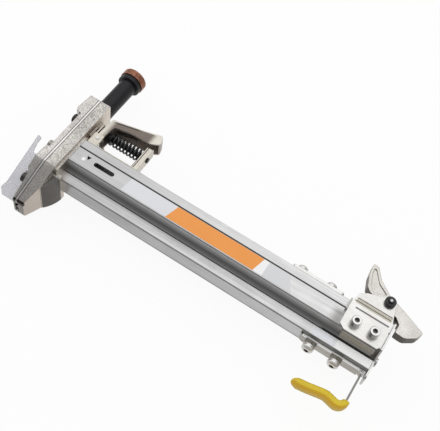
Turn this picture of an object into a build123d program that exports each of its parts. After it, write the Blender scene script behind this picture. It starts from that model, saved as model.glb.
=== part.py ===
from build123d import *
import math
import os

os.makedirs("parts", exist_ok=True)

# A hand-struck V-nailer, lying on its side as it rests on a bench.
# X runs back along the magazine, Y runs up the driver line from the nozzle
# face to the striking cap, and Z is across the machine, up from the bench.
# The origin is the centre of the nozzle face. Sizes are in millimetres.

# Clearances
running = 0.05          # radial, shafts and pins in their holes
sliding = 0.2           # flat pieces that slide past each other
free = 0.3              # pieces that only pass each other

# Head
head_width = 46.0
head_length = 118.0
nozzle_width = 20.0
taper_length = 39.0
end_chamfer = 1.2
strip_thickness = 2.0
body_rear_x = 11.2
nozzle_rear_x = 7.1
nozzle_rear_run = 20.0
nozzle_front_x = -3.2
nozzle_front_run = 26.0
pad_thickness = 2.6
pad_y = (36.5, 81.5)
pad_half = 20.5
gusset_rear_x = 19.0
gusset_low_y = 18.0
gusset_half = 16.0

# Front cover
cover_thickness = 4.6
barrel_wall = 1.35
barrel_start = 40.0
upper_boss_start = 98.0
upper_boss_depth = 4.3
upper_boss_lean = 1.7
lower_boss_start = 26.0
lower_boss_end = 53.0
lower_boss_depth = 3.6
cover_screw_rows = [(21.5, 10.5), (57.5, 17.0), (92.5, 17.0)]
cover_screw_seat = 0.8
cover_screw_reach = 8.5
cap_screw_d = 5.0
cap_head_d = 8.5
cap_head_h = 5.0
cap_socket_d = 4.6
cap_socket_depth = 2.6

# Driver
rod_d = 17.0
rod_guided = 18.0
stroke = 44.3
stroke_spare = 0.2
collar_d = 22.5
collar_h = 4.5
cap_d = 24.0
cap_h = 7.2
cap_round = 1.0
spigot_d = 10.0
spigot_h = 5.0
pocket_d = 15.8
pocket_depth = 15.0
bore_floor = 48.0
blade_half_width = 5.0
blade_rise = 2.8
blade_wall = 1.8
blade_apex = 2.2
blade_lap = 6.0
blade_tip_spare = 0.4
blade_pin_d = 2.0
blade_pin_up = 1.9
seat_thickness = 1.0
return_spring_r = 7.5
spring_wall = 1.4

# Magazine
magazine_rear_x = 316.0
keel_bottom = 38.5
keel_half = 9.0
keel_top = 48.2
flank_y = 53.2
block_half = 20.0
joint_y = 69.5
cover_top = 78.5
cove_depth = 1.5
keel_floor = 1.8
nail_room = 4.2
slot_half = 5.3
slot_top = 60.0
pocket_floor = 62.5
pocket_half = 6.1
chamber_inner = 8.0
chamber_outer = 17.8
chamber_y = (56.0, 67.0)
edge_chamfer = 0.8
joint_slot = (0.8, 1.2)    # height and depth of the line between the two extrusions
window_x = 44.5
window_length = 20.5
window_width = 4.2
window_y = 62.3
sight_x = 27.3
sight_y = 64.4
sight_r = 2.4

# Clamp strip on the magazine cover
clamp_screw_x = (230.5, 258.0)
clamp_z = 12.0
clamp_x = (222.0, 270.0)
clamp_half = 7.0
clamp_thickness = 2.5
dome_d = 10.0
dome_h = 5.4
dome_round = 2.8
small_screw_d = 4.0
small_screw_reach = 6.0

# Rear bracket and its screws
sheet = 1.5
bracket_x = (277.5, 315.2)
bracket_low_y = 51.8
ear_gap = 0.5
bracket_grooves = [((78.3, 80.2), (279.5, 312.5)), ((80.9, 83.2), (281.0, 312.5)),
                   ((73.5, 74.5), (283.0, 313.5))]
groove_depth = 0.6
skirt_x = (283.0, 313.0)
skirt_sheet = 1.2
skirt_low_z = 12.5
side_tab_x = 276.2
side_tab_h = 2.6
side_tab_y = (67.7, 78.4)
tall_screw_x = (288.8, 305.1)
tall_screw_y = 61.6
tall_reach = 8.0
washer_d = 10.0
washer_h = 1.0

# Beak latch
pivot_x = 304.7
pivot_y = 93.8
beak_thickness = 9.9
beak_pin_d = 5.0
beak_pin_head_d = 9.6
beak_pin_head_h = 3.2
beak_pin_ball_d = 5.0
beak_pin_ball_h = 1.9
thumb_recess = 0.8
ear_lobe_r = 6.0
beak_boss_r = 6.0

# Tail plate, guide rod and pusher
tail_thickness = 1.5
tail_inset = 0.6
tail_top = 82.0
tail_bottom = 31.0
guide_rod_d = 5.0
guide_rod_y = 52.0
guide_head_d = 8.0
guide_head_h = 2.0
guide_head_x = 17.3
pusher_length = 26.0
pusher_lift = 1.4           # gap between the pusher and the floor of the nail track
pusher_spring_r = 4.0

# Foot
foot_sheet = 1.2
foot_x = 256.4
foot_bend_x = 313.5
foot_z = (-9.0, 3.8)
foot_corner = 5.0
foot_screw_x = (266.9, 290.4)
foot_nut_d = 11.6
foot_nut_h = 2.8
button_d = 10.4
button_h = 5.2
button_round = 2.9
button_socket_d = 4.6
button_socket_depth = 3.0
prong_half = 4.2
prong_z = -2.2
prong_low_y = 1.4
prong_line = [(297.5, 5.4), (283.0, 2.4), (271.8, 0.8)]
prong_radii = [3, 6, 14, 20]
sleeve_start = 8.0
dip_wall = 2.3
dip_side = 1.2
dip_end = 2.6
dip_end_round = 2.4
dip_round = 2.0

# Front latch
latch_z = 7.0
latch_half = 10.0
plunger_y = 99.5
plunger_d = 5.0
plunger_entry = 2.0
keeper = 1.0
keeper_y = (86.5, 106.0)
keeper_half = 7.0
latch_base_t = 2.0
latch_front_x = 14.2
latch_wall = 1.4
latch_wall_top = 104.0
latch_block_x = (58.0, 64.0)
latch_block_half = 5.6
latch_block_top = 109.5
latch_screw_x = (34.0, 50.0)
latch_screw_h = 2.0
cheek_rear_x = 23.5
cheek_top = 92.0
lever_pivot_x = 19.4
lever_pivot_y = 87.5
lever_pin_d = 3.0
lever_outer = 8.2
lever_wall = 1.5
lever_slot = (5.7, 6.6)
web_x = (18.2, 19.8)
plunger_collar_d = 8.0
plunger_seat_d = 11.4
plunger_seat_h = 1.4
latch_spring_x = 27.6
latch_spring_wire = 1.5
latch_spring_mean_r = 5.15
latch_spring_turns = 8
coil_spare = 0.25
coil_gap_needed = 0.4

# Clear sighting plate
clear_thickness = 2.0
clear_corners = [0, 0, 2.5, 2.5, 6, 12, 1.2, 1.2, 3, 5, 3, 0, 0]
lug_thickness = 3.0
lug_y = (28.0, 49.0)
lug_reach = 7.2
clear_screw_d = 3.0
clear_screw_head_d = 5.6
clear_screw_head_h = 1.8
clear_screw_reach = 3.8

# Places that follow from the sizes above
strip_half = strip_thickness / 2
cover_face_x = -strip_half - cover_thickness
upper_x = cover_face_x - upper_boss_depth
lower_x = cover_face_x - lower_boss_depth
pad_x = body_rear_x + pad_thickness
rod_bottom = head_length - rod_guided
collar_y = head_length + stroke + stroke_spare
cap_y = collar_y + collar_h
blade_tip = stroke + blade_tip_spare
pocket_top = rod_bottom + pocket_depth
blade_top = pocket_top + blade_lap
bore_r = rod_d / 2 + running
nail_floor = keel_bottom + keel_floor
nail_top = nail_floor + nail_room
bracket_z = block_half + sheet
tail_x = magazine_rear_x + free
beak_top_z = block_half - free
seat_y = bore_floor + seat_thickness
barrel_x = -bore_r - barrel_wall
clear_screw_x = barrel_x - clear_screw_head_d / 2 - free
clear_screw_spots = [(clear_screw_x, lug_y[0] + 6), (clear_screw_x, lug_y[1] - 5)]
cover_screw_spots = [(y, flank * z) for y, z in cover_screw_rows for flank in (1, -1)]
seat_x = cover_face_x + cover_screw_seat
pusher_x = guide_head_x + guide_head_h + sliding
pusher_y = (nail_floor + pusher_lift, slot_top - sliding)
foot_low_y = keel_bottom - foot_sheet
foot_screw_z = (foot_z[0] + foot_z[1]) / 2
nut_low_y = foot_low_y - foot_nut_h
ear_z = beak_top_z - beak_thickness - ear_gap - sheet

# Cove between the keel and the magazine body: a circle through the two corners
cove_chord = math.hypot(flank_y - keel_top, block_half - keel_half)
cove_r = (cove_chord ** 2 / 4 + cove_depth ** 2) / (2 * cove_depth)
cove_out_y = -(block_half - keel_half) / cove_chord
cove_out_z = (flank_y - keel_top) / cove_chord
cove_y = (flank_y + keel_top) / 2 + cove_out_y * (cove_r - cove_depth)
cove_z = (block_half + keel_half) / 2 + cove_out_z * (cove_r - cove_depth)
cove_mid_y = cove_y - cove_out_y * cove_r
cove_mid_z = cove_z - cove_out_z * cove_r


def level(y):
    """Plane across the driver line at height y; sketches on it are drawn as (Z, X)."""
    return Plane(origin=(0, y, 0), x_dir=(0, 0, 1), z_dir=(0, 1, 0))


def section(x):
    """Plane across the magazine at x; sketches on it are drawn as (Y, Z)."""
    return Plane.YZ.offset(x)


def side(z):
    """Plane along the machine at z; sketches on it are drawn as (X, Y)."""
    return Plane.XY.offset(z)


def outline(points, mode=Mode.ADD):
    """Closed face with straight sides in the open sketch."""
    Polygon(*points, align=None, mode=mode)


def head_outline(mode=Mode.ADD):
    """Outline of the head in (Y, Z): a plate that tapers to the nozzle."""
    narrow = nozzle_width / 2
    wide = head_width / 2
    outline([(0, end_chamfer - narrow), (end_chamfer, -narrow), (taper_length, -wide),
             (head_length, -wide), (head_length, wide), (taper_length, wide),
             (end_chamfer, narrow), (0, narrow - end_chamfer)], mode)


def chevron(gap):
    """V section of the driver blade in (Z, X), grown by gap on every side."""
    w = blade_half_width
    inner = blade_rise - blade_apex
    outline([(0, -blade_apex), (w, inner), (w, inner + blade_wall), (0, blade_wall - blade_apex),
             (-w, inner + blade_wall), (-w, inner)])
    if gap:
        offset(amount=gap, kind=Kind.INTERSECTION)


def arc_face(radius, thickness, start, end):
    """Band of a circle about the cove centre in (Y, Z), between two angles."""
    places = []
    for r in (radius, radius - thickness):
        for angle in (start, (start + end) / 2, end):
            places.append((cove_y + r * math.cos(math.radians(angle)),
                           cove_z + r * math.sin(math.radians(angle))))
    with BuildLine() as band:
        ThreePointArc(*places[:3])
        Line(places[2], places[5])
        ThreePointArc(*reversed(places[3:]))
        Line(places[3], places[0])
    make_face(band.edges())


def biarc(p0, t0, p1, t1):
    """Two arcs from p0 to p1 that leave along t0 and arrive along t1."""
    chord = p1 - p0
    total = t0 + t1
    spread = 2 * (1 - t0.dot(t1))
    root = math.sqrt(chord.dot(total) ** 2 + spread * chord.dot(chord))
    reach = (root - chord.dot(total)) / spread
    q0 = p0 + t0 * reach
    q1 = p1 - t1 * reach
    joint = (q0 + q1) * 0.5
    along = (q1 - q0).normalized()
    for start, corner, end, ta, tb in ((p0, q0, joint, t0, along), (joint, q1, p1, along, t1)):
        half = math.acos(min(1.0, ta.dot(tb))) / 2
        middle = (start + end) * 0.5
        share = math.cos(half) / (1 + math.cos(half))
        ThreePointArc(start, middle + (corner - middle) * share, end)


def coil_place(turn):
    """Point and direction on the latch spring after a number of turns."""
    angle = 2 * math.pi * turn
    r = latch_spring_mean_r
    point = Vector(coil_x0 + coil_pitch * turn, plunger_y + r * math.cos(angle),
                   latch_z + r * math.sin(angle))
    way = Vector(coil_pitch / (2 * math.pi), -r * math.sin(angle), r * math.cos(angle))
    return point, way.normalized()


def save(piece, label):
    """Label one finished piece and write its STEP file."""
    piece.part.label = label
    export_step(piece.part, f"parts/{label}.step")


# Head base: the rear half of the head, with the magazine pad and the keel gusset
with BuildPart() as head_base:
    with BuildSketch(section(strip_half)):
        head_outline()
    extrude(amount=body_rear_x - strip_half)
    # the nozzle is slimmer than the body behind it
    with BuildSketch(side(-head_width / 2)):
        outline([(nozzle_rear_x, 0), (body_rear_x, nozzle_rear_run),
                 (body_rear_x + 1, nozzle_rear_run), (body_rear_x + 1, 0)])
    extrude(amount=head_width, mode=Mode.SUBTRACT)
    # pad that the magazine butts against, and the keeper of the front latch
    with BuildSketch(section(body_rear_x)):
        with Locations((sum(pad_y) / 2, 0)):
            RectangleRounded(pad_y[1] - pad_y[0], 2 * pad_half, 3.0)
    extrude(amount=pad_thickness)
    with BuildSketch(section(body_rear_x)):
        with Locations((sum(keeper_y) / 2, latch_z)):
            RectangleRounded(keeper_y[1] - keeper_y[0], 2 * keeper_half, 2.0)
    extrude(amount=keeper)
    # curved gusset under the keel
    with BuildSketch(side(-gusset_half)):
        with BuildLine():
            Polyline((body_rear_x - 1, gusset_low_y), (body_rear_x - 1, keel_bottom),
                     (gusset_rear_x, keel_bottom), (gusset_rear_x, 34.0))
            ThreePointArc((gusset_rear_x, 34.0), (16.6, 26.0), (body_rear_x, gusset_low_y))
            Line((body_rear_x, gusset_low_y), (body_rear_x - 1, gusset_low_y))
        make_face()
    extrude(amount=2 * gusset_half)
    with BuildSketch(section(body_rear_x)):
        with Locations((head_length / 2, 0)):
            Rectangle(head_length, 2 * head_width)
        head_outline(Mode.SUBTRACT)
    extrude(amount=gusset_rear_x - body_rear_x, mode=Mode.SUBTRACT)
    # ridge that fills the inside of the V channel
    with BuildSketch(level(0)):
        ridge_x = blade_rise + blade_wall - blade_apex
        outline([(-blade_half_width, ridge_x), (0, blade_wall - blade_apex),
                 (blade_half_width, ridge_x)])
    extrude(amount=bore_floor)
    # bore for the striking rod, and the V channel below it
    with BuildSketch(level(bore_floor)):
        Circle(bore_r)
    extrude(amount=head_length - bore_floor, mode=Mode.SUBTRACT)
    with BuildSketch(level(0)):
        chevron(running)
    extrude(amount=bore_floor, mode=Mode.SUBTRACT)
    # port through which the nails reach the V channel
    with BuildSketch(section(0)):
        with Locations(((nail_floor + nail_top) / 2, 0)):
            Rectangle(nail_room, 2 * slot_half)
    extrude(amount=gusset_rear_x, mode=Mode.SUBTRACT)
    # screw holes, and the hole that the latch plunger enters
    with BuildSketch(section(strip_half)):
        with Locations(*cover_screw_spots):
            Circle(cap_screw_d / 2 + running)
    extrude(amount=cover_screw_reach - strip_half, mode=Mode.SUBTRACT)
    with BuildSketch(section(body_rear_x + keeper)):
        with Locations((plunger_y, latch_z)):
            Circle(plunger_d / 2 + running)
    extrude(amount=-keeper - plunger_entry - sliding, mode=Mode.SUBTRACT)
save(head_base, "head_base")

# Guide strips: two ground strips between the head halves, one on each side of the driver
with BuildPart() as guide_strips:
    with BuildSketch(section(-strip_half)):
        head_outline()
    extrude(amount=strip_thickness)
    with BuildSketch(section(-strip_half)):
        with Locations(*cover_screw_spots):
            Circle(cap_screw_d / 2 + 2 * running)
        with Locations(((nail_floor + nail_top) / 2, 0)):
            Rectangle(nail_room, 2 * slot_half)
    extrude(amount=strip_thickness, mode=Mode.SUBTRACT)
    with BuildSketch(level(bore_floor)):
        Circle(bore_r)
    extrude(amount=head_length - bore_floor, mode=Mode.SUBTRACT)
    with BuildSketch(level(0)):
        Rectangle(2 * (blade_half_width + running), 2 * strip_thickness)
    extrude(amount=bore_floor, mode=Mode.SUBTRACT)
save(guide_strips, "guide_strips")

# Front cover: the front half of the head, a plate with a barrel and two bosses
with BuildPart() as front_cover:
    with BuildSketch(section(-strip_half)):
        head_outline()
    extrude(amount=-cover_thickness)
    with BuildSketch(level(barrel_start)):
        Circle(-barrel_x)
        with Locations((0, head_width / 2 - strip_half)):
            Rectangle(head_width, head_width, mode=Mode.SUBTRACT)
    extrude(amount=head_length - barrel_start)
    with BuildSketch(side(-head_width / 2)):
        outline([(cover_face_x, head_length), (upper_x, head_length),
                 (upper_x - upper_boss_lean, upper_boss_start + 3),
                 (upper_x - upper_boss_lean + 1, upper_boss_start),
                 (cover_face_x, upper_boss_start - 1)])
        outline([(cover_face_x, lower_boss_end), (lower_x + 1, lower_boss_end),
                 (lower_x, taper_length), (lower_x + 0.8, lower_boss_start + 1),
                 (cover_face_x, lower_boss_start)])
    extrude(amount=head_width)
    # the lower boss follows the taper of the nose
    with BuildSketch(section(lower_x)):
        with Locations((head_length / 2, 0)):
            Rectangle(head_length, 2 * head_width)
        head_outline(Mode.SUBTRACT)
    extrude(amount=lower_boss_depth, mode=Mode.SUBTRACT)
    # the nozzle is slimmer than the plate
    with BuildSketch(side(-head_width / 2)):
        outline([(nozzle_front_x, 0), (cover_face_x, nozzle_front_run),
                 (cover_face_x - 1, nozzle_front_run), (cover_face_x - 1, 0)])
    extrude(amount=head_width, mode=Mode.SUBTRACT)
    # lug for the clear plate, just under the middle plane
    with BuildSketch(side(-clear_thickness / 2 - lug_thickness)):
        outline([(cover_face_x, lug_y[0]), (cover_face_x, lug_y[1]),
                 (lower_x - lug_reach, lug_y[1] - 2), (lower_x - lug_reach, lug_y[0] + 3)])
    extrude(amount=lug_thickness)
    with BuildSketch(side(-clear_thickness / 2 - lug_thickness)):
        with Locations(*clear_screw_spots):
            Circle(clear_screw_d / 2 + running)
    extrude(amount=lug_thickness, mode=Mode.SUBTRACT)
    # bore, V channel and screw holes
    with BuildSketch(level(bore_floor)):
        Circle(bore_r)
    extrude(amount=head_length - bore_floor, mode=Mode.SUBTRACT)
    with BuildSketch(level(0)):
        chevron(running)
    extrude(amount=bore_floor, mode=Mode.SUBTRACT)
    with BuildSketch(section(seat_x)):
        with Locations(*cover_screw_spots):
            Circle(cap_head_d / 2 + sliding)
    extrude(amount=-2 * cap_head_h, mode=Mode.SUBTRACT)
    with BuildSketch(section(-strip_half)):
        with Locations(*cover_screw_spots):
            Circle(cap_screw_d / 2 + 2 * running)
    extrude(amount=-cover_thickness, mode=Mode.SUBTRACT)
save(front_cover, "front_cover")

# Cover screws: six socket cap screws that clamp the two halves of the head
with BuildPart() as cover_screws:
    with BuildSketch(section(seat_x)):
        with Locations(*cover_screw_spots):
            Circle(cap_head_d / 2)
    extrude(amount=-cap_head_h)
    chamfer(cover_screws.faces().sort_by(Axis.X)[:6].edges(), 0.4)
    with BuildSketch(section(seat_x)):
        with Locations(*cover_screw_spots):
            Circle(cap_screw_d / 2)
    extrude(amount=cover_screw_reach - seat_x - sliding)
    with BuildSketch(section(seat_x - cap_head_h)):
        with Locations(*cover_screw_spots):
            RegularPolygon(cap_socket_d / 2, 6)
    extrude(amount=cap_socket_depth, mode=Mode.SUBTRACT)
save(cover_screws, "cover_screws")

# Clear guide plate: a sight for the mitre line, on the middle plane in front of the nose
with BuildPart() as clear_guide_plate:
    with BuildSketch(side(-clear_thickness / 2)):
        with BuildLine():
            FilletPolyline((-3.9, 2.3), (-17.7, 2.3), (-22.4, 7.0), (-21.8, 14.0), (-25.4, 36.0),
                           (-29.3, 59.0), (-31.0, 68.6), (-27.0, 67.6), (-26.6, 61.6),
                           (-23.6, 51.3), (barrel_x - sliding, 49.0), (barrel_x - sliding, 25.2),
                           (-6.0, 24.6), radius=clear_corners, close=True)
        make_face()
    extrude(amount=clear_thickness)
    with BuildSketch(side(-clear_thickness / 2)):
        with Locations(*clear_screw_spots):
            Circle(clear_screw_d / 2 + 2 * running)
    extrude(amount=clear_thickness, mode=Mode.SUBTRACT)
save(clear_guide_plate, "clear_guide_plate")

# Clear plate screws: two low round head screws into the lug
with BuildPart() as clear_plate_screws:
    with BuildSketch(side(clear_thickness / 2)):
        with Locations(*clear_screw_spots):
            Circle(clear_screw_head_d / 2)
    extrude(amount=clear_screw_head_h)
    fillet(clear_plate_screws.faces().sort_by(Axis.Z)[-2:].edges(), clear_screw_head_h / 2)
    with BuildSketch(side(clear_thickness / 2)):
        with Locations(*clear_screw_spots):
            Circle(clear_screw_d / 2)
    extrude(amount=-clear_thickness - clear_screw_reach + 1)
save(clear_plate_screws, "clear_plate_screws")

# Magazine channel: an extrusion with a narrow keel that carries the nails
with BuildPart() as magazine_channel:
    with BuildSketch(section(pad_x)):
        with BuildLine():
            Polyline((flank_y, block_half), (joint_y, block_half), (joint_y, -block_half),
                     (flank_y, -block_half))
            ThreePointArc((flank_y, -block_half), (cove_mid_y, -cove_mid_z),
                          (keel_top, -keel_half))
            Polyline((keel_top, -keel_half), (keel_bottom, -keel_half),
                     (keel_bottom, keel_half), (keel_top, keel_half))
            ThreePointArc((keel_top, keel_half), (cove_mid_y, cove_mid_z),
                          (flank_y, block_half))
        make_face()
    extrude(amount=magazine_rear_x - pad_x)
    with BuildSketch(section(pad_x)):
        with Locations(((nail_floor + slot_top) / 2, 0)):
            Rectangle(slot_top - nail_floor, 2 * slot_half)
        with Locations(((pocket_floor + joint_y) / 2, 0)):
            Rectangle(joint_y - pocket_floor, 2 * pocket_half)
        for flank in (1, -1):
            with Locations((sum(chamber_y) / 2, flank * (chamber_inner + chamber_outer) / 2)):
                Rectangle(chamber_y[1] - chamber_y[0], chamber_outer - chamber_inner)
    extrude(amount=magazine_rear_x - pad_x, mode=Mode.SUBTRACT)
    # long sight window, small sight hole and screw holes in the upper side
    with BuildSketch(side(chamber_outer)):
        with Locations((window_x, window_y)):
            SlotOverall(window_length, window_width)
        with Locations((sight_x, sight_y)):
            RegularPolygon(sight_r, 3, rotation=-90)
        with Locations(*[(x, tall_screw_y) for x in tall_screw_x]):
            Circle(cap_screw_d / 2 + running)
    extrude(amount=block_half - chamber_outer, mode=Mode.SUBTRACT)
    # screw holes for the foot
    with BuildSketch(level(keel_bottom)):
        with Locations(*[(foot_screw_z, x) for x in foot_screw_x]):
            Circle(small_screw_d / 2 + running)
    extrude(amount=keel_floor, mode=Mode.SUBTRACT)
save(magazine_channel, "magazine_channel")

# Magazine cover: the upper extrusion, keyed into the channel by a rib
with BuildPart() as magazine_cover:
    with BuildSketch(section(pad_x)):
        rim = cover_top - edge_chamfer
        corner = block_half - edge_chamfer
        step_y = joint_y + joint_slot[0]
        step_z = block_half - joint_slot[1]
        outline([(joint_y, step_z), (step_y, step_z), (step_y, block_half), (rim, block_half),
                 (cover_top, corner), (cover_top, -corner), (rim, -block_half),
                 (step_y, -block_half), (step_y, -step_z), (joint_y, -step_z)])
        with Locations(((pocket_floor + joint_y) / 2 + sliding, 0)):
            Rectangle(joint_y - pocket_floor, 2 * (pocket_half - 2 * running))
    extrude(amount=magazine_rear_x - pad_x)
    # screw holes for the clamp strip and the front latch
    with BuildSketch(level(cover_top)):
        with Locations(*[(clamp_z, x) for x in clamp_screw_x],
                       *[(latch_z, x) for x in latch_screw_x]):
            Circle(small_screw_d / 2 + running)
    extrude(amount=-small_screw_reach, mode=Mode.SUBTRACT)
save(magazine_cover, "magazine_cover")

# Clamp strip: a flat bar screwed along the magazine cover
with BuildPart() as rail_clamp_strip:
    with BuildSketch(level(cover_top)):
        with Locations((clamp_z, sum(clamp_x) / 2)):
            RectangleRounded(2 * clamp_half, clamp_x[1] - clamp_x[0], 2.5)
        with Locations(*[(clamp_z, x) for x in clamp_screw_x]):
            Circle(small_screw_d / 2 + 2 * running, mode=Mode.SUBTRACT)
    extrude(amount=clamp_thickness)
save(rail_clamp_strip, "rail_clamp_strip")

# Clamp screws: two round head screws
with BuildPart() as rail_clamp_screws:
    dome_y = cover_top + clamp_thickness
    with BuildSketch(level(dome_y)):
        with Locations(*[(clamp_z, x) for x in clamp_screw_x]):
            Circle(dome_d / 2)
    extrude(amount=dome_h)
    fillet(rail_clamp_screws.faces().sort_by(Axis.Y)[-2:].edges(), dome_round)
    with BuildSketch(level(dome_y)):
        with Locations(*[(clamp_z, x) for x in clamp_screw_x]):
            Circle(small_screw_d / 2)
    extrude(amount=-clamp_thickness - small_screw_reach + sliding)
save(rail_clamp_screws, "rail_clamp_screws")

# Rear bracket: folded sheet screwed to the side of the magazine, with two ears for the beak
with BuildPart() as rear_bracket:
    with BuildSketch(side(block_half)):
        outline([(bracket_x[0], cover_top), (bracket_x[0] + 0.8, 55.0), (skirt_x[0], bracket_low_y),
                 (skirt_x[1], bracket_low_y), (bracket_x[1], 55.0), (bracket_x[1], cover_top)])
    extrude(amount=sheet)
    for ear in (block_half, ear_z):
        with BuildSketch(side(ear)):
            outline([(278.0, cover_top), (280.1, 87.2), (285.6, 91.0), (299.6, 95.9),
                     (309.4, 96.6), (313.0, 84.0), (314.6, cover_top)])
            with Locations((pivot_x, pivot_y)):
                Circle(ear_lobe_r)
                Circle(beak_pin_d / 2 + running, mode=Mode.SUBTRACT)
        extrude(amount=sheet)
    # web between the ears, flat on the magazine cover
    with BuildSketch(side(ear_z)):
        with Locations((sum(skirt_x) / 2, cover_top + sheet / 2)):
            Rectangle(skirt_x[1] - skirt_x[0], sheet)
    extrude(amount=block_half - ear_z)
    # skirt that hugs the cove of the magazine
    with BuildSketch(section(skirt_x[0])):
        top_angle = math.degrees(math.asin((block_half + 0.1 - cove_z) / (cove_r - free)))
        low_angle = math.degrees(math.asin((skirt_low_z - cove_z) / (cove_r - free)))
        arc_face(cove_r - free, skirt_sheet, top_angle, low_angle)
    extrude(amount=skirt_x[1] - skirt_x[0])
    # upturned tab at the front edge
    with BuildSketch(side(block_half)):
        with Locations((side_tab_x + sheet / 2, sum(side_tab_y) / 2)):
            Rectangle(sheet, side_tab_y[1] - side_tab_y[0])
    extrude(amount=sheet + side_tab_h)
    with BuildSketch(side(block_half)):
        with Locations(*[(x, tall_screw_y) for x in tall_screw_x]):
            Circle(cap_screw_d / 2 + 2 * running)
    extrude(amount=sheet, mode=Mode.SUBTRACT)
    # pressed lines that stiffen the fold
    with BuildSketch(side(bracket_z - groove_depth)):
        for (y0, y1), (x0, x1) in bracket_grooves:
            with Locations(((x0 + x1) / 2, (y0 + y1) / 2)):
                RectangleRounded(x1 - x0, y1 - y0, (y1 - y0) * 0.4)
    extrude(amount=groove_depth, mode=Mode.SUBTRACT)
save(rear_bracket, "rear_bracket")

# Bracket washers: one under each tall screw
with BuildPart() as bracket_washers:
    with BuildSketch(side(bracket_z)):
        with Locations(*[(x, tall_screw_y) for x in tall_screw_x]):
            Circle(washer_d / 2)
            Circle(cap_screw_d / 2 + 2 * running, mode=Mode.SUBTRACT)
    extrude(amount=washer_h)
save(bracket_washers, "bracket_washers")

# Bracket screws: two socket cap screws through the bracket
with BuildPart() as bracket_screws:
    head_z = bracket_z + washer_h
    with BuildSketch(side(head_z)):
        with Locations(*[(x, tall_screw_y) for x in tall_screw_x]):
            Circle(cap_head_d / 2)
    extrude(amount=cap_head_h)
    chamfer(bracket_screws.faces().sort_by(Axis.Z)[-2:].edges(), 0.4)
    with BuildSketch(side(head_z)):
        with Locations(*[(x, tall_screw_y) for x in tall_screw_x]):
            Circle(cap_screw_d / 2)
    extrude(amount=-tall_reach)
    with BuildSketch(side(head_z + cap_head_h)):
        with Locations(*[(x, tall_screw_y) for x in tall_screw_x]):
            RegularPolygon(cap_socket_d / 2, 6)
    extrude(amount=-cap_socket_depth, mode=Mode.SUBTRACT)
save(bracket_screws, "bracket_screws")

# Beak lever: the thumb latch whose hook holds the tail plate shut
with BuildPart() as beak_lever:
    with BuildSketch(side(beak_top_z - beak_thickness)):
        with BuildLine():
            FilletPolyline((277.9, 120.1), (283.2, 118.9), (290.3, 109.5), (301.7, 101.2),
                           (320.0, 94.2), (339.2, 86.2), (336.8, 79.6), (328.0, 73.4),
                           (319.5, 74.0), (319.5, 81.8), (314.6, 86.3), (303.0, 89.2),
                           (286.6, 94.2), (283.0, 97.5), (279.2, 108.3),
                           radius=[1.5, 1.5, 9, 14, 12, 1.5, 5, 7, 1.2, 1, 1, 8, 2, 4, 8],
                           close=True)
        make_face()
        with Locations((pivot_x, pivot_y)):
            Circle(beak_boss_r)
            Circle(beak_pin_d / 2 + running, mode=Mode.SUBTRACT)
    extrude(amount=beak_thickness)
    # shallow recess in the thumb, with a rim left round it
    with BuildSketch(side(beak_top_z - thumb_recess)):
        with BuildLine():
            FilletPolyline((280.2, 117.0), (283.0, 115.2), (290.2, 105.6), (300.4, 99.4),
                           (289.4, 95.4), (285.2, 99.6), (281.2, 110.0),
                           radius=[0.9, 1.5, 9, 0.8, 1.5, 4, 8], close=True)
        make_face()
    extrude(amount=thumb_recess, mode=Mode.SUBTRACT)
save(beak_lever, "beak_lever")

# Beak pin: the pivot, with a collar and a domed end on the upper ear
with BuildPart() as beak_pin:
    with BuildSketch(side(bracket_z)):
        with Locations((pivot_x, pivot_y)):
            Circle(beak_pin_head_d / 2)
    extrude(amount=beak_pin_head_h)
    chamfer(beak_pin.faces().sort_by(Axis.Z)[-1].edges(), 0.5)
    with BuildSketch(side(bracket_z + beak_pin_head_h)):
        with Locations((pivot_x, pivot_y)):
            Circle(beak_pin_ball_d / 2)
    extrude(amount=beak_pin_ball_h)
    fillet(beak_pin.faces().sort_by(Axis.Z)[-1].edges(), beak_pin_ball_h * 0.9)
    with BuildSketch(side(bracket_z)):
        with Locations((pivot_x, pivot_y)):
            Circle(beak_pin_d / 2)
    extrude(amount=ear_z - bracket_z - 1)
save(beak_pin, "beak_pin")

# End plate: closes the rear of the magazine and leaves a finger tab below
with BuildPart() as end_plate:
    with BuildSketch(section(tail_x)):
        block = block_half - tail_inset
        keel = keel_half - tail_inset
        with BuildLine():
            FilletPolyline((tail_top, -block), (tail_top, block), (flank_y + 0.5, block),
                           (keel_top, keel), (tail_bottom, keel), (tail_bottom, -keel),
                           (keel_top, -keel), (flank_y + 0.5, -block),
                           radius=[1.5, 1.5, 1.5, 1.5, 3, 3, 1.5, 1.5], close=True)
        make_face()
        with Locations((guide_rod_y, 0)):
            Circle(guide_rod_d / 2 + running, mode=Mode.SUBTRACT)
    extrude(amount=tail_thickness)
save(end_plate, "end_plate")

# Guide rod: fixed in the end plate, with a stop head for the pusher
with BuildPart() as guide_rod:
    with BuildSketch(section(guide_head_x)):
        with Locations((guide_rod_y, 0)):
            Circle(guide_head_d / 2)
    extrude(amount=guide_head_h)
    with BuildSketch(section(guide_head_x)):
        with Locations((guide_rod_y, 0)):
            Circle(guide_rod_d / 2)
    extrude(amount=tail_x + tail_thickness - guide_head_x)
    with BuildSketch(section(tail_x)):
        with Locations((guide_rod_y, 0)):
            Circle(guide_head_d / 2)
    extrude(amount=-guide_head_h)
    with BuildSketch(section(tail_x + tail_thickness)):
        with Locations((guide_rod_y, 0)):
            Circle(guide_head_d / 2)
    extrude(amount=guide_head_h)
save(guide_rod, "guide_rod")

# Pusher: slides on the guide rod and feeds the strip of nails
with BuildPart() as pusher:
    with BuildSketch(section(pusher_x)):
        with Locations((sum(pusher_y) / 2, 0)):
            Rectangle(pusher_y[1] - pusher_y[0], 2 * (slot_half - sliding))
        with Locations((guide_rod_y, 0)):
            Circle(guide_rod_d / 2 + running, mode=Mode.SUBTRACT)
    extrude(amount=pusher_length)
save(pusher, "pusher")

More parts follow.
